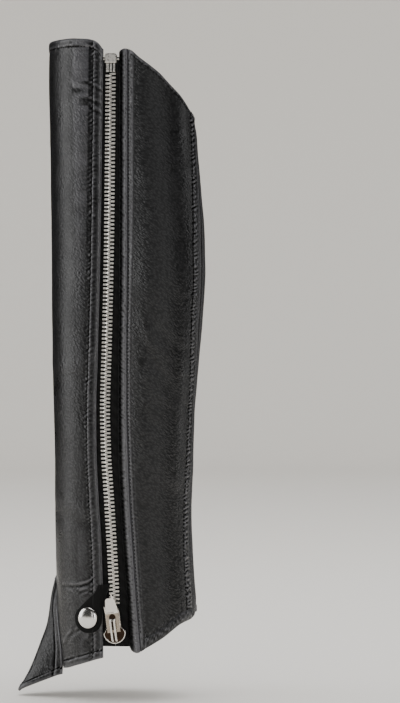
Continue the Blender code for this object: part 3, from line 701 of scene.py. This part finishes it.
lateral = {
    "backFold": 8.5,
    "backGathers": (21.0, 3.6, 3.2, 0.75, 0.25),
    "hemGathers": (22.0, 3.3, 2.6, 0.2, 0.4),
    "rimGathers": (23.0, 3.4, 2.6, 0.18, 0.3),
    "lapGathers": (24.0, 4.0, 2.4, 0.1, 0.7),
    "lapRise": 0.45,
    "lapWidth": 3.0,
    "lapTop": 1.6,
    "rimFold": 3.2,
}
lateralCreases = {
    "along": (24, 32, 18, 38, 30, 22, 16, 34, 22, 30, 42),
    "height": (-88, -100, -76, -112, -66, -112, -124, -180, 70, 10, -40),
    "lean": (-42, -40, -45, -38, -44, -36, -50, -22, -20, -30, -35),
    "length": (60, 54, 46, 44, 44, 40, 36, 50, 64, 54, 50),
    "width": (4.2, 4.0, 3.6, 3.6, 4.0, 3.4, 3.4, 6.0, 7.0, 6.0, 6.0),
    "depth": (0.3, 0.28, 0.24, 0.24, 0.22, 0.2, 0.2, 0.2, 0.18, 0.2, 0.18),
}
strip = {
    "share": (0.0, 0.08, 0.3, 0.46, 0.6, 0.85, 0.95, 1.0),
    "rise": (-0.9, -0.35, 0.45, 0.95, 1.1, 0.7, 0.1, -0.4),
    "gathers": (31.0, 2.8, 3.0, 0.36, 0.9),
}
band = {"rise": 0.9, "gathers": (41.0, 3.6, 4.0, 0.4, 0.6)}


def lateralLow(angle):
    return hemLine(angle) + (cloth["hemBand"] if angle > cloth["hemBandStart"] else 0.0)


def lateralRelief(angle, height, above, below):
    fromBack = roundLeg(backOuter(height) - angle, height)
    fromStrip = roundLeg(angle - stripSeam(height), height)
    total = turnedEdge(fromBack, height, lateral["backGathers"], lateral["backFold"], 2.6)
    lap = lateral["lapWidth"] + lateral["lapTop"] * ease(height, -90, 60)
    total += fold(fromStrip + 0.4, lateral["lapRise"], lap, 0.3)
    total += gathers(height, fromStrip - 1.5, lateral["lapGathers"])
    along = roundLeg(angle - 90, height)
    total += fold(below, 0.3, lateral["rimFold"], 0.3)
    total += gathers(along, below - lateral["rimFold"], lateral["rimGathers"])
    total += gathers(along, above - 1.0, lateral["hemGathers"])
    return settled(total, (fromBack, above, below, fromStrip), angle, height, lateralCreases, 1.3)


def stripRelief(angle, height, above, below):  # leans down to the zip, highest past its middle
    start, end = stripEdge(height), stripSeam(height)
    share = min(max((angle - start) / (end - start), 0.0), 1.0)
    across = roundLeg(angle - (start + end) / 2, height)
    wave = gathers(height, across - 1.0, strip["gathers"]) * math.sin(math.pi * share) ** 0.5
    ends = 0.8 * (max(1 - above / 1.5, 0.0) ** 2 + max(1 - below / 1.5, 0.0) ** 2)
    lean = smoothRead(strip, "rise", share, "share")
    return lean + wave - ends


def bandRelief(angle, height, above, below):
    share = min(max(above / (above + below), 0.0), 1.0)
    wave = gathers(roundLeg(angle - 90, height), above - 4, band["gathers"]) * math.sin(math.pi * share) ** 0.5
    return band["rise"] * math.sin(math.pi * share) ** 0.6 - 0.2 + wave


def lateralColumns():
    first = (0.0, 0.3, 0.7, 1.2, 1.8, 2.4, 2.9, 3.3, 3.7, 4.1, 4.5, 4.9, 5.4, 6.2)
    fill, parts = 7, 44
    step = [fixed(cloth["hemBandStart"] + d) for d in (-0.05, 0.05)]
    start = []
    for k, distance in enumerate(first):  # none passes the start of the hem band, where the strip comes near it
        start.append(lambda h, d=distance, k=k: min(stripSeam(h) + turned(d, h), step[0](h) - 0.1 * (21 - k)))
    last = start[-1]
    for k in range(1, fill):
        start.append(lambda h, k=k: max(last(h) + k / fill * (step[0](h) - last(h)), last(h) + 0.01 * k))
    end = [shifted(backOuter, -d * lateral["backFold"] / cloth["fold"]) for d in reversed(nearEdge)]
    return start + step + between(step[1], end[0], parts) + end


def lateralPaintedLight(share):  # painted highlight beside the strip, painted shadow before the puckers where the panel dips
    return 0.1 * (1 - ease(share, 0.1, 0.15)) - 0.1 * ease(share, 0.74, 0.79) * (1 - ease(share, 0.84, 0.87))


def stripPaintedLight(share):  # painted shade along the zip side, painted highlight on its crest
    return 0.07 * ease(share, 0.4, 0.55) - 0.34 * (1 - ease(share, 0.34, 0.46))


def makeLateralPanel():
    up = panelRows(plainEdge, 560, nearEdge)
    # borders and the column term give each piece painted highlight above zero and painted shade below zero in its
    # colour
    shadeAndWear = {"borders": (-0.5, 1.0, -1.4, 1.6), "paintedLight": lateralPaintedLight}
    panel = panelWall("lateral_panel", "leather", lateralColumns(), lateralLow, rimLine, up, lateralRelief, **shadeAndWear)
    across = panelColumns(stripEdge, plainEdge, 0.8, plainEdge, stripSeam)
    up = panelRows(plainEdge, 560, plainEdge)
    shadeAndWear = {"borders": (0.0, -0.7, 1.2, 1.6), "paintedLight": stripPaintedLight}
    zipStrip = panelWall("lateral_zip_strip", "leather", across, hemLine, rimLine, up, stripRelief, **shadeAndWear)
    across = panelColumns(fixed(cloth["hemBandStart"] - 0.6), plainEdge, 1.2, plainEdge, backOuter, -285.0)
    up, bandTop = panelRows(plainEdge, 7, plainEdge), lambda a: hemLine(a) + cloth["hemBand"]
    shadeAndWear = {"borders": (-0.8, 0.8, 1.0, -1.2)}
    hemBand = panelWall("lateral_hem_band", "leather", across, hemLine, bandTop, up, bandRelief, **shadeAndWear)
    sewing = sewPiece("lateral_panel_stitches", skinOf(lateralRelief, lateralLow, rimLine), (
        upright(shifted(backOuter, -lateral["backFold"]), -262, 92),
        roundEdge(rimLine, 99, 163, -lateral["rimFold"]),
        upright(shifted(stripSeam, 0.6), -280, 140),
    ))
    return panel, zipStrip, hemBand, sewing


lateralPiece, stripPiece, bandPiece, lateralSewing = makeLateralPanel()
print("rear outer panel made")

# Stretch gusset over the calf

gusset = {"ribs": 9, "rise": 1.5, "sink": 1.1}


def gussetRelief(angle, height, above, below):
    start, end = backOuter(height), backInner(height)
    turn = gusset["ribs"] * (angle - start) / (end - start)
    insideRib = 2 * (turn - math.floor(turn)) - 1
    ends = min(ease(above, 0, 10), ease(below, 0, 8))
    rib = gusset["rise"] * (1 - abs(insideRib) ** 2.2) * (0.35 + 0.65 * ends)
    uneven = 0.2 * noise.noise((math.floor(turn) * 3.1, height / 16, 2.0)) * (1 - insideRib**2)
    return rib + uneven


def makeGusset():
    across = panelColumns(backOuter, (0.0,), 0.62, (0.0,), backInner)
    up = panelRows(plainEdge, 230, plainEdge)
    base = -gusset["sink"]
    return panelWall("calf_gusset", "stretch_leather", across, hemLine, rimLine, up, gussetRelief, base)


gussetPiece = makeGusset()
print("gusset made")

# Toe piece over the instep

toeShape = {"keel": 0.2, "under": -cloth["thick"] - 0.7, "over": cloth["thick"] + 0.6, "tip": 0.2}
toeGathers = (51.0, 3.2, 2.2, 0.18, 0.4)


@lru_cache(maxsize=8192)
def cutAngle(height, side):  # where the front panel's hem passes this height, from the shin to its lowest corner
    near, far = (0.0, 26.0) if side > 0 else (0.0, -53.0)
    for _ in range(16):
        middle = (near + far) / 2
        if frontHemLine(middle) > height:
            near = middle
        else:
            far = middle
    return abs((near + far) / 2)


def toePoint(step, across):  # tucked under the front panel at its outer side, over it at its inner side
    side = "outer" if across > 0 else "inner"
    share = abs(across)
    nose = smoothRead(toe, "nose", step, "step")
    noseHeight = smoothRead(toe, "noseHeight", step, "step")
    border = smoothRead(toe, side, step, "step")
    height = noseHeight + (smoothRead(toe, side + "Height", step, "step") - noseHeight) * share**1.2
    angle = border * share
    cut = cutAngle(round(height, 2), 1 if across > 0 else -1)
    if across > 0:
        out = toeShape["under"] * ease(angle, cut - 4.0, cut - 1.2)
    else:
        out = toeShape["over"] * ease(-angle, cut - 5.5, cut - 1.5) * ease(step, 0, toeShape["tip"])
    flank = min(abs(angle) / max(cut - 1.2, 1.5), 1.0)
    keel = toeShape["keel"]
    roundNose = math.sqrt(flank**2 + keel**2) - keel
    reach = 1 - roundNose / (math.sqrt(1 + keel**2) - keel)
    forward = tube(0, height).x - nose
    return tube(angle, height, out) - Vector((forward * reach, 0, 0))


toeEdge = {
    # columns by their distance from the front panel's cut
    "clear": (6.2, 5.6, 5.1, 4.8, 4.6, 4.4, 4.1, 3.6, 3.0, 2.5, 2.2, 2.0, 1.88, 1.7, 1.4, 0.8),
    "gap": 1.9,  # open dark gap between the folded edge and the front panel
    "fold": 4.6,
    "innerFold": 4.2,
    "rise": 0.8,
    "groove": 0.7,
    "drop": 2.6,
    "hem": 4.8,
}


def toeShare(step, clear):  # share of the way to the outer border at a distance from the front panel's cut
    border = smoothRead(toe, "outer", step, "step")
    near, far = 0.0, 1.0
    for _ in range(11):
        middle = (near + far) / 2
        point = toePoint(step, middle)
        if roundLeg(cutAngle(round(point.z, 2), 1) - border * middle, point.z) > clear:
            near = middle
        else:
            far = middle
    return (near + far) / 2


@lru_cache(maxsize=4096)
def toeSqueeze(step):  # the folded edge gets narrower toward the top
    return min(1.0, roundLeg(cutAngle(round(toePoint(step, 0.5).z, 2), 1), -280) / 9)


def toeInward(step, across):
    small, last = 0.01, toe["step"][-1]
    down = toePoint(min(step + small, last), across) - toePoint(max(step - small, 0), across)
    aside = toePoint(step, min(across + small, 1)) - toePoint(step, max(across - small, -1))
    return aside.cross(down).normalized()


def toeLift(step, across, point):
    fromHem = (toePoint(toe["step"][-1], across) - point).length
    lift = turnedEdge(fromHem, point.y - point.x, toeGathers, toeEdge["hem"], rise=0.5)
    if across > 0:
        squeeze = toeSqueeze(step)
        under = smoothRead(toe, "outer", step, "step") * across
        cut = cutAngle(round(point.z, 2), 1)
        clear = roundLeg(cut - under, point.z) / squeeze
        rest = toeShape["under"] * ease(under, cut - 4.0, cut - 1.2)
        if clear > toeEdge["gap"]:
            raised = toeEdge["rise"] * (1 - ease(clear, toeEdge["fold"] - 0.3, toeEdge["fold"] + 0.5))
            raised -= toeEdge["groove"] * math.exp(-(((clear - toeEdge["fold"]) / 0.5) ** 2))
        else:
            raised = -toeEdge["drop"] * ease(-clear, -toeEdge["gap"], -toeEdge["gap"] + 0.3)
        return lift + (raised - rest) * squeeze
    width = (toePoint(step, -1.0) - toePoint(step, 0.0)).length
    fromSide = (1 + across) * width
    if width > 9:
        lift += 0.6 * (1 - ease(fromSide, 3.5, 5.0)) - 0.8 * math.exp(-(((fromSide - toeEdge["innerFold"]) / 0.6) ** 2))
    return lift


def toeSkin(across, step):
    point = toePoint(step, across)
    return point - toeInward(step, across) * toeLift(step, across, point)


def makeToePiece():
    last = toe["step"][-1]
    steps = [last - 0.035 * i for i in range(27)] + [4.05 - 0.08 * i for i in range(47)] + [0.29, 0.2, 0.12, 0.05, 0.0]
    medialParts, outerParts = 40, 16
    rows, columns = len(steps), medialParts + 1 + outerParts + len(toeEdge["clear"]) + 1
    shares = []
    for step in steps:
        edge = [toeShare(step, d * toeSqueeze(step)) for d in toeEdge["clear"]]
        row = [-1 + i / medialParts for i in range(medialParts + 1)]
        row += [edge[0] * (i + 1) / (outerParts + 1) for i in range(outerParts)] + edge + [1.0]
        shares.append(row)

    def place(i, j, isOutside):
        step, across = steps[j], shares[j][i]
        point = toePoint(step, across)
        inward = toeInward(step, across)
        if i > columns - 5:  # the tucked part ends above the front panel's hem
            under = smoothRead(toe, "outer", step, "step") * across
            point.z = max(point.z, frontHemLine(under) + 2.5)
        return point - inward * toeLift(step, across, point) if isOutside else point + inward * cloth["thick"]

    # the borders put painted highlight along the toe's inner border and along its hem
    panel = gridWall("toe_piece", "leather", columns, rows, place, (1.4, 0.0, 1.4, 0.0))
    alongHem = []
    for i in range(-19, 16):
        across, step = i / 20, last
        while (toePoint(last, across) - toePoint(step, across)).length < toeEdge["hem"]:
            step -= 0.02
        alongHem.append((across, step))
    downTo = [4.2 - 0.1 * i for i in range(22)]
    outerFold = [(toeShare(s, toeEdge["fold"] * toeSqueeze(s)), s) for s in downTo]
    innerFold = [(toeEdge["innerFold"] / (toePoint(s, -1.0) - toePoint(s, 0.0)).length - 1, s) for s in downTo]
    facing = lambda across, step: -toeInward(step, across)
    return panel, sewPiece("toe_piece_stitches", toeSkin, (alongHem, outerFold, innerFold), facing)


toePiece, toeSewing = makeToePiece()
print("toe piece made")

# Zip

zipShape = {
    "tapeOut": -cloth["thick"] - cloth["seam"], "tapeThick": 0.9, "tapeGap": 0.1, "tapeUnder": 8.0,
    "tapeLow": -291.0, "tapeHigh": 141.0, "pitch": 2.83, "toothHigh": 1.42, "toothDeep": 3.0, "toothLong": 3.75,
    "toothStart": 0.9, "chainOut": -0.6, "chainLow": -261.4, "chainHigh": 129.4,
}


def makeTape(node, left, right):
    across = panelColumns(left, (0.0, 0.2), 1.5, (0.0, 0.2), right)
    low, high = fixed(zipShape["tapeLow"]), fixed(zipShape["tapeHigh"])
    up, even = panelRows((0.0,), 110, (0.0,)), lambda *_: 0.0
    base, thick = zipShape["tapeOut"], zipShape["tapeThick"]
    return panelWall(node, "textile", across, low, high, up, even, base, thick)


def standOn(point, up, out):  # axes across, up and outward at a point
    up = (up - out * up.dot(out)).normalized()
    place = Matrix((up.cross(out), up, out)).transposed().to_4x4()
    place.translation = point
    return place


def chainFrame(height):
    angle, ahead = chainLine(height), height + 5
    point = tube(angle, height)
    return standOn(point, tube(chainLine(ahead), ahead) - point, outward(angle, height))


def toothMesh():  # cast scoop: a bar clamped on the tape with a head that locks in the middle
    bm = bmesh.new()
    high, deep, long, start = (zipShape[k] for k in ("toothHigh", "toothDeep", "toothLong", "toothStart"))
    bmesh.ops.create_cube(bm, size=1.0)
    bmesh.ops.scale(bm, vec=(long - start, high, deep), verts=bm.verts)
    bmesh.ops.translate(bm, vec=((long + start) / 2, 0, zipShape["chainOut"] - deep / 2), verts=bm.verts)
    middle = Matrix.Translation((0, 0, -zipShape["chainOut"] + deep / 2))
    for reach, size in ((0.45, (1, 0.72, 0.8)), (1.2, (1, 1.25, 1.0))):  # the neck, then the head
        inner = [f for f in bm.faces if f.normal.x < -0.9]
        verts = extruded(bm, inner)
        bmesh.ops.delete(bm, geom=inner, context="FACES_ONLY")
        bmesh.ops.translate(bm, vec=(-reach, 0, 0), verts=verts)
        bmesh.ops.scale(bm, vec=size, verts=verts, space=middle)
    bmesh.ops.bevel(bm, geom=bm.edges[:], offset=0.2, segments=1, profile=0.5, affect="EDGES", material=-1)
    bmesh.ops.recalc_face_normals(bm, faces=bm.faces)
    return toMesh(bm, "tooth")


def makeTeeth():
    tooth = toothMesh()
    bm = bmesh.new()
    count = int((zipShape["chainHigh"] - zipShape["chainLow"]) / zipShape["pitch"] * 2)
    for k in range(count):
        height = zipShape["chainHigh"] - 0.8 - k * zipShape["pitch"] / 2
        first = len(bm.verts)
        bm.from_mesh(tooth)
        bm.verts.ensure_lookup_table()
        side = Matrix.Rotation(math.pi, 4, "Z") if k % 2 else Matrix.Identity(4)
        bmesh.ops.transform(bm, matrix=chainFrame(height) @ side, verts=bm.verts[first:])
    bpy.data.meshes.remove(tooth)
    keepMesh(bm, "zip_teeth", [toothNickel], ("zip_chain", "nickel"), smooth=False)


under, gap = zipShape["tapeUnder"], zipShape["tapeGap"]
frontTape = makeTape("zip_tape_front", shifted(frontEdge, -under), shifted(chainLine, -gap))
rearTape = makeTape("zip_tape_rear", shifted(chainLine, gap), shifted(stripEdge, under - 3))
makeTeeth()
print("zip made")

slider = {
    "top": (-10.3, -265.0), "bottom": (-7.8, -285.6), "noseEnd": 12.2, "noseHalf": 5.3, "shoulder": -5.4,
    "shoulderHalf": 8.2, "shoulderDrop": 8.0, "rimWide": 0.75, "outerPlate": (-1.5, 0.9), "rimTop": 1.7,
    "innerPlate": (-6.0, -4.0), "post": (-8.5, 2.4), "bridge": (-11.6, 5.0), "bridgeHalf": 2.2, "bridgeSlot": 0.65,
    "bridgeUnder": 4.3, "bridgeTop": 5.8,
}
tab = {
    "axis": (-4.1, 2.85), "thick": 1.2, "half": 4.8, "low": -0.8, "bend": 13.5, "end": 24.6, "tilt": 22,
    "holeHalf": 2.45, "holeTop": 10.3, "corner": 2.2, "rim": 0.6,
    "wedge": [(1.9, 13.2), (4.8, 13.2), (4.3, 20.0), (3.2, 25.0), (2.3, 28.5), (1.8, 28.5), (1.7, 20.0)],
}
box = {
    "top": 143.6, "bottom": 136.6, "wide": 8.7, "stub": 12.8,
    "pins": ((-3.4, -1.1), (-0.6, 1.1), (1.7, 3.4)), "pinsBottom": 130.0,
}


def arc(centre, radii, start, end, parts):
    turns = [math.radians(start + (end - start) * i / parts) for i in range(parts + 1)]
    return [(centre[0] + radii[0] * math.cos(t), centre[1] + radii[1] * math.sin(t)) for t in turns]


def sliderOutline(inset=0.0):
    corner = 1.4
    half, top = slider["noseHalf"] - inset, slider["noseEnd"] - inset
    wide, drop = slider["shoulderHalf"] - inset, slider["shoulderDrop"] - inset
    left = arc((-half + corner, top - corner), (corner, corner), 90, 180, 4)
    right = arc((half - corner, top - corner), (corner, corner), 0, 90, 4)
    low = arc((0, slider["shoulder"]), (wide, drop), 180, 360, 22)
    waist = slider["shoulder"] + 3.6 + inset
    return left + [(-half, waist)] + low + [(half, waist)] + right


def addPlate(bm, outline, low, high, edge, turn=None, hole=(), finish=0):  # an outline raised to a plate
    made = bmesh.new()
    for points in (outline, hole):
        verts = [made.verts.new((x, y, low)) for x, y in points]
        for pair in zip(verts, verts[1:] + verts[:1]):
            made.edges.new(pair)
    bmesh.ops.triangle_fill(made, edges=made.edges[:], use_beauty=True)
    top = extruded(made, made.faces[:], use_keep_orig=True)
    bmesh.ops.translate(made, vec=(0, 0, high - low), verts=top)
    bmesh.ops.recalc_face_normals(made, faces=made.faces)
    sharp = [e for e in made.edges if len(e.link_faces) == 2 and e.calc_face_angle() > math.radians(50)]
    broken = {"offset": edge, "segments": 2, "profile": 0.5, "affect": "EDGES", "material": -1, "clamp_overlap": True}
    bmesh.ops.bevel(made, geom=sharp, **broken)
    for face in made.faces:
        face.material_index = finish
    if turn:
        bmesh.ops.transform(made, matrix=turn, verts=made.verts)
    mergeInto(bm, made)


def sliderFrame():
    x, height = [(slider["top"][i] + slider["bottom"][i]) / 2 for i in (0, 1)]
    angle = angleOf(x, height)
    point = tube(angle, height)
    return standOn(point, tube(angleOf(*slider["top"]), slider["top"][1]) - point, outward(angle, height))


def makeSlider():
    bm = bmesh.new()
    low, high = slider["outerPlate"]
    # finish 2, the dark nickel, is painted shade on the recess floor and under the bridge; finish 1, the bright nickel,
    # is painted highlight on the rim, the bridge and its joint
    addPlate(bm, sliderOutline(), low, high, 0.2, finish=2)
    addPlate(bm, sliderOutline(), high - 0.4, slider["rimTop"], 0.2, hole=sliderOutline(slider["rimWide"]), finish=1)
    addPlate(bm, sliderOutline(), *slider["innerPlate"], 0.3)
    place, radius = slider["post"]
    addPlate(bm, arc((0, place), (radius, radius), 0, 345, 23), slider["innerPlate"][1] - 0.5, low + 0.5, 0.1)
    start, end = slider["bridge"]
    foot, under, top = high - 0.3, slider["bridgeUnder"], slider["bridgeTop"]
    arch = [(start, foot), (start, top - 1.3), (start + 1.4, top), (end - 1.4, top), (end, top - 1.3), (end, foot)]
    arch += [(end - 1.5, foot), (end - 1.5, under), (start + 1.5, under), (start + 1.5, foot)]
    stand = Matrix(((0, 0, 1), (1, 0, 0), (0, 1, 0))).to_4x4()
    half, slot = slider["bridgeHalf"], slider["bridgeSlot"]
    for sides in ((-half, -slot), (slot, half)):
        addPlate(bm, arch, *sides, 0.3, stand, finish=1)
    joint = [(end - 1.6, foot), (end - 1.6, top - 0.4), (end - 0.3, top - 0.9), (end - 0.1, foot)]
    addPlate(bm, joint, -slot - 0.2, slot + 0.2, 0.1, stand, finish=1)
    web = [(start + 0.3, foot), (start + 0.3, under - 0.2), (start + 1.4, under - 0.2), (start + 1.4, foot)]
    addPlate(bm, web, -slot - 0.1, slot + 0.1, 0.05, stand, finish=2)
    bmesh.ops.transform(bm, matrix=sliderFrame(), verts=bm.verts)
    finishes = [sliderNickel, highlightNickel, shadedHollowNickel]
    keepMesh(bm, "slider_casting", finishes, ("slider_body", "nickel"), smooth=False)


def makeTab():
    bm = bmesh.new()
    half, bend, end, corner, thick = tab["half"], tab["bend"], tab["end"], tab["corner"], tab["thick"]
    outline = [(-half, tab["low"]), (half, tab["low"]), (half, bend), (half - 0.8, end - corner)]
    outline += arc((half - 0.8 - corner, end - corner), (corner, corner), 0, 90, 6)
    outline += arc((-half + 1.6 + corner, end - corner), (corner, corner), 90, 180, 6) + [(-half, bend)]
    hole = arc((0, tab["holeTop"]), (tab["holeHalf"], tab["holeHalf"]), 0, 180, 10)
    hole += [(-tab["holeHalf"], 0.8), (tab["holeHalf"], 0.8)]
    addPlate(bm, outline, -thick / 2, thick / 2, 0.22, hole=hole)
    rim, wedge = tab["rim"], tab["wedge"]
    cup = [(-half - 0.2, bend + 5.0), (-half - 0.1, bend - 0.5), (half + 0.1, bend - 0.5), (half, bend + 5.0)]
    cup += [(half - rim, bend + 5.0), (half - rim, bend + 0.3), (-half + rim, bend + 0.3)]
    cup.append((-half + rim - 0.2, bend + 5.0))
    addPlate(bm, cup, 0.3, thick / 2 + 0.35, 0.12, finish=1)
    first = len(bm.verts)
    addPlate(bm, wedge, 0.2, thick / 2 + 0.9, 0.15, finish=1)
    bm.verts.ensure_lookup_table()
    for vert in bm.verts[first:]:
        if vert.co.z > 0.6:
            vert.co.z -= (vert.co.x - wedge[0][0]) * 0.3
    everything = bm.verts[:] + bm.edges[:] + bm.faces[:]
    bmesh.ops.bisect_plane(bm, geom=everything, plane_co=(0, bend, 0), plane_no=(0, 1, 0))
    # the part above the bend, turned up to the light, takes the bright nickel as painted highlight, as do the cup and
    # the wedge
    for face in bm.faces:
        if face.calc_center_median().y > bend:
            face.material_index = 1
    for vert in bm.verts:
        vert.co.z += max(vert.co.y - bend, 0.0) * math.tan(math.radians(tab["tilt"]))
    bmesh.ops.transform(bm, matrix=sliderFrame() @ Matrix.Translation((0, *tab["axis"])), verts=bm.verts)
    keepMesh(bm, "pull_tab_plate", [sliderNickel, highlightNickel], ("pull_tab", "nickel"), "pull_tab", smooth=False)


def makeZipEnd():  # the box that takes both ends of the chain at the top, and the pins below it
    bm = bmesh.new()
    top, bottom, wide = box["top"], box["bottom"], box["wide"] / 2
    half = (top - bottom) / 2
    corners = [(-wide, -half), (wide, -half), (wide, half - 1.6), (wide - 0.9, half), (-wide + 0.9, half)]
    addPlate(bm, corners + [(-wide, half - 1.6)], -4.5, 0.5, 0.6)
    across = Matrix.Translation((0, -0.8, -1.6)) @ Matrix.Rotation(math.radians(90), 4, "Y")
    stub = {"radius1": 0.45, "radius2": 0.45, "depth": box["stub"], "matrix": across}
    bmesh.ops.create_cone(bm, cap_ends=True, segments=12, **stub)
    bmesh.ops.transform(bm, matrix=chainFrame((top + bottom) / 2), verts=bm.verts)
    keepMesh(bm, "zip_box_casting", [toothNickel], ("zip_box", "nickel"), smooth=False)
    bm = bmesh.new()
    top, bottom = bottom - cloth["seam"], box["pinsBottom"]
    half = (top - bottom) / 2
    for left, right in box["pins"]:
        addPlate(bm, [(left, -half), (right, -half), (right, half), (left, half)], -3.9, -0.3, 0.3)
    # a plate of the dark nickel behind the pins: painted shade in the slots between them
    addPlate(bm, [(-3.2, -half + 0.3), (3.2, -half + 0.3), (3.2, half), (-3.2, half)], -4.2, -2.2, 0.1, finish=1)
    bmesh.ops.transform(bm, matrix=chainFrame((top + bottom) / 2), verts=bm.verts)
    keepMesh(bm, "zip_pins_casting", [toothNickel, shadedHollowNickel], ("zip_pins", "nickel"), smooth=False)


makeSlider()
makeTab()
makeZipEnd()
print("slider made")

# Snap

snap = {"x": -27.3, "height": -270.2, "radius": 7.9, "dome": 2.6, "ring": 0.9, "strapThick": 1.2}


def strapOut(x, height):
    angle = min(angleOf(x, height), frontEdge(height))
    onPanel = max(fold(roundLeg(frontEdge(height) - angle, height), width=front["zipFold"]), 0.0)
    past = ease(x, smoothRead(zipLines, "panel", height) + 0.3, -12.5)
    return (1 - past) * (cloth["seam"] + onPanel) + past * (zipShape["chainOut"] + cloth["seam"])


def makeStrap():
    columns, rows = 33, 61
    heights = snapStrap["height"]

    def place(i, j, isOutside):
        height = heights[0] + (heights[-1] - heights[0]) * j / (rows - 1)
        start, end = smoothRead(snapStrap, "front", height), smoothRead(snapStrap, "back", height)
        share = i / (columns - 1)
        x = start + (end - start) * share
        edge = min(share, 1 - share) * (end - start)
        rounding = 0.45 * max(1 - edge / 1.0, 0.0) ** 2
        out = strapOut(x, height) + (snap["strapThick"] - rounding if isOutside else 0.0)
        return tube(angleOf(x, height), height, out)

    return gridWall("snap_strap", "strap", columns, rows, place)


def makeSnapCap():
    x, height, radius = snap["x"], snap["height"], snap["radius"]
    base = strapOut(x, height) + snap["strapThick"] + cloth["seam"]
    angle = angleOf(x, height)
    bm = bmesh.new()
    bmesh.ops.create_uvsphere(bm, u_segments=64, v_segments=48, radius=1.0)
    everything = bm.verts[:] + bm.edges[:] + bm.faces[:]
    bmesh.ops.bisect_plane(bm, geom=everything, plane_co=(0, 0, -0.3), plane_no=(0, 0, 1), clear_inner=True)
    bmesh.ops.holes_fill(bm, edges=bm.edges)
    bmesh.ops.scale(bm, vec=(radius, radius, snap["dome"]), verts=bm.verts)
    bmesh.ops.translate(bm, vec=(0, 0, base + snap["ring"]), verts=bm.verts)
    place = standOn(tube(angle, height), Vector((0, 0, 1)), outward(angle, height))
    bmesh.ops.transform(bm, matrix=place, verts=bm.verts)
    bmesh.ops.recalc_face_normals(bm, faces=bm.faces)
    keepMesh(bm, "snap_cap_shell", [capNickel], ("snap_cap", "nickel"))


strapPiece = makeStrap()
makeSnapCap()
print("snap made")

# Floor, backdrop and light

stage = {"floor": cadBox[0][2] - 0.003, "near": 1.3, "radius": 5.0, "bend": 1.2, "wall": 3.0, "colour": "#e9e7e3"}


def makeStage():
    paper, _, _ = newMaterial("matte backdrop paper", {"Base Color": hexColour(stage["colour"]), "Roughness": 0.9})
    near, far = stage["near"], stage["radius"]
    outlines = {"floor": [(0, 0), (near, 0)], "backdrop": [(near, 0), (far, 0), (far, stage["wall"])]}
    bend = {"offset": stage["bend"], "segments": 12, "profile": 0.5, "affect": "VERTICES", "material": -1}
    whole = {"cent": (0, 0, 0), "axis": (0, 0, 1), "angle": math.tau, "steps": 64, "use_merge": True}
    for name, points in outlines.items():
        bm = bmesh.new()
        verts = [bm.verts.new((x, 0, z)) for x, z in points]
        for pair in zip(verts, verts[1:]):
            bm.edges.new(pair)
        if name == "backdrop":
            bmesh.ops.bevel(bm, geom=[verts[1]], **bend)
        bmesh.ops.spin(bm, geom=bm.verts[:] + bm.edges[:], **whole)
        bmesh.ops.remove_doubles(bm, verts=bm.verts, dist=1e-5)
        bmesh.ops.recalc_face_normals(bm, faces=bm.faces)
        bmesh.ops.translate(bm, vec=(0, 0, stage["floor"]), verts=bm.verts)
        mesh = toMesh(bm, name)
        mesh.shade_smooth()
        mesh.materials.append(paper)
        made = addObject(name, mesh)
        made.visible_glossy = name == "floor"


makeStage()

aim = (0.0, 0.0, -0.05)  # the middle of the tube
lights = {
    "left softbox": {"place": (-1.71, 0.04, 0.1), "size": (1.0, 1.8), "power": 16, "aim": aim},
    "front strip light": {"place": (0.28, -2.45, 0.15), "size": (0.5, 1.8), "power": 17, "aim": aim},
    "zip strip light": {"place": (-0.95, -2.15, 0.15), "size": (0.22, 1.8), "power": 2.2, "aim": aim},
    "right softbox": {"place": (1.55, -1.17, 0.1), "size": (1.3, 1.8), "power": 7, "aim": aim},
    "right rim light": {"place": (1.6, 0.65, 0.1), "size": (0.25, 1.8), "power": 3.5, "aim": aim},
    "overhead": {"place": (0.2, 0.4, 2.4), "size": (2.4, 2.4), "power": 40, "aim": (0.2, 0.4, 0.0)},
}
for name, light in lights.items():
    data = bpy.data.lights.new(name, "AREA")
    data.shape = "RECTANGLE"
    data.size, data.size_y = light["size"]
    data.energy = light["power"]
    lamp = addObject(name, data)
    lamp.location = light["place"]
    lamp.rotation_euler = (Vector(light["aim"]) - Vector(light["place"])).to_track_quat("-Z", "Y").to_euler()

world = bpy.data.worlds.new("studio")
bpy.context.scene.world = world
world.use_nodes = True
sky = world.node_tree
reflected = addNode(sky, "LightPath").outputs["Is Glossy Ray"]  # a darker room in reflections keeps black leather black
strength = addNode(sky, "MapRange", spread(0, 1, 1.1, 0.045), {"Value": reflected})
sky.nodes["Background"].inputs["Color"].default_value = hexColour("#f2f0ed")
feed(sky, sky.nodes["Background"], {"Strength": strength})
print("stage and lights made")

# Cut of the cloth pieces, as far as they show; area where the cut is no rectangle
cuts = {
    frontPiece: {"flat": (0.172, 0.465), "area": 0.0620, "with": [frontSewing]},
    medialPiece: {"flat": (0.085, 0.43), "area": 0.0232, "with": [medialSewing]},
    lateralPiece: {"flat": (0.075, 0.44), "area": 0.0250, "with": [lateralSewing]},
    stripPiece: {"flat": (0.01, 0.44), "area": 0.0036},
    bandPiece: {"flat": (0.058, 0.01), "area": 0.00045},
    gussetPiece: {"flat": (0.05, 0.38), "area": 0.0150},
    toePiece: {"flat": (0.1, 0.09), "area": 0.0048, "with": [toeSewing]},
    frontTape: {"flat": (0.0145, 0.432)},
    rearTape: {"flat": (0.0135, 0.432)},
    strapPiece: {"flat": (0.024, 0.037), "area": 0.0006},
}
for piece, cut in cuts.items():
    cut.get("area")
    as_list(cut.get("with", ()))
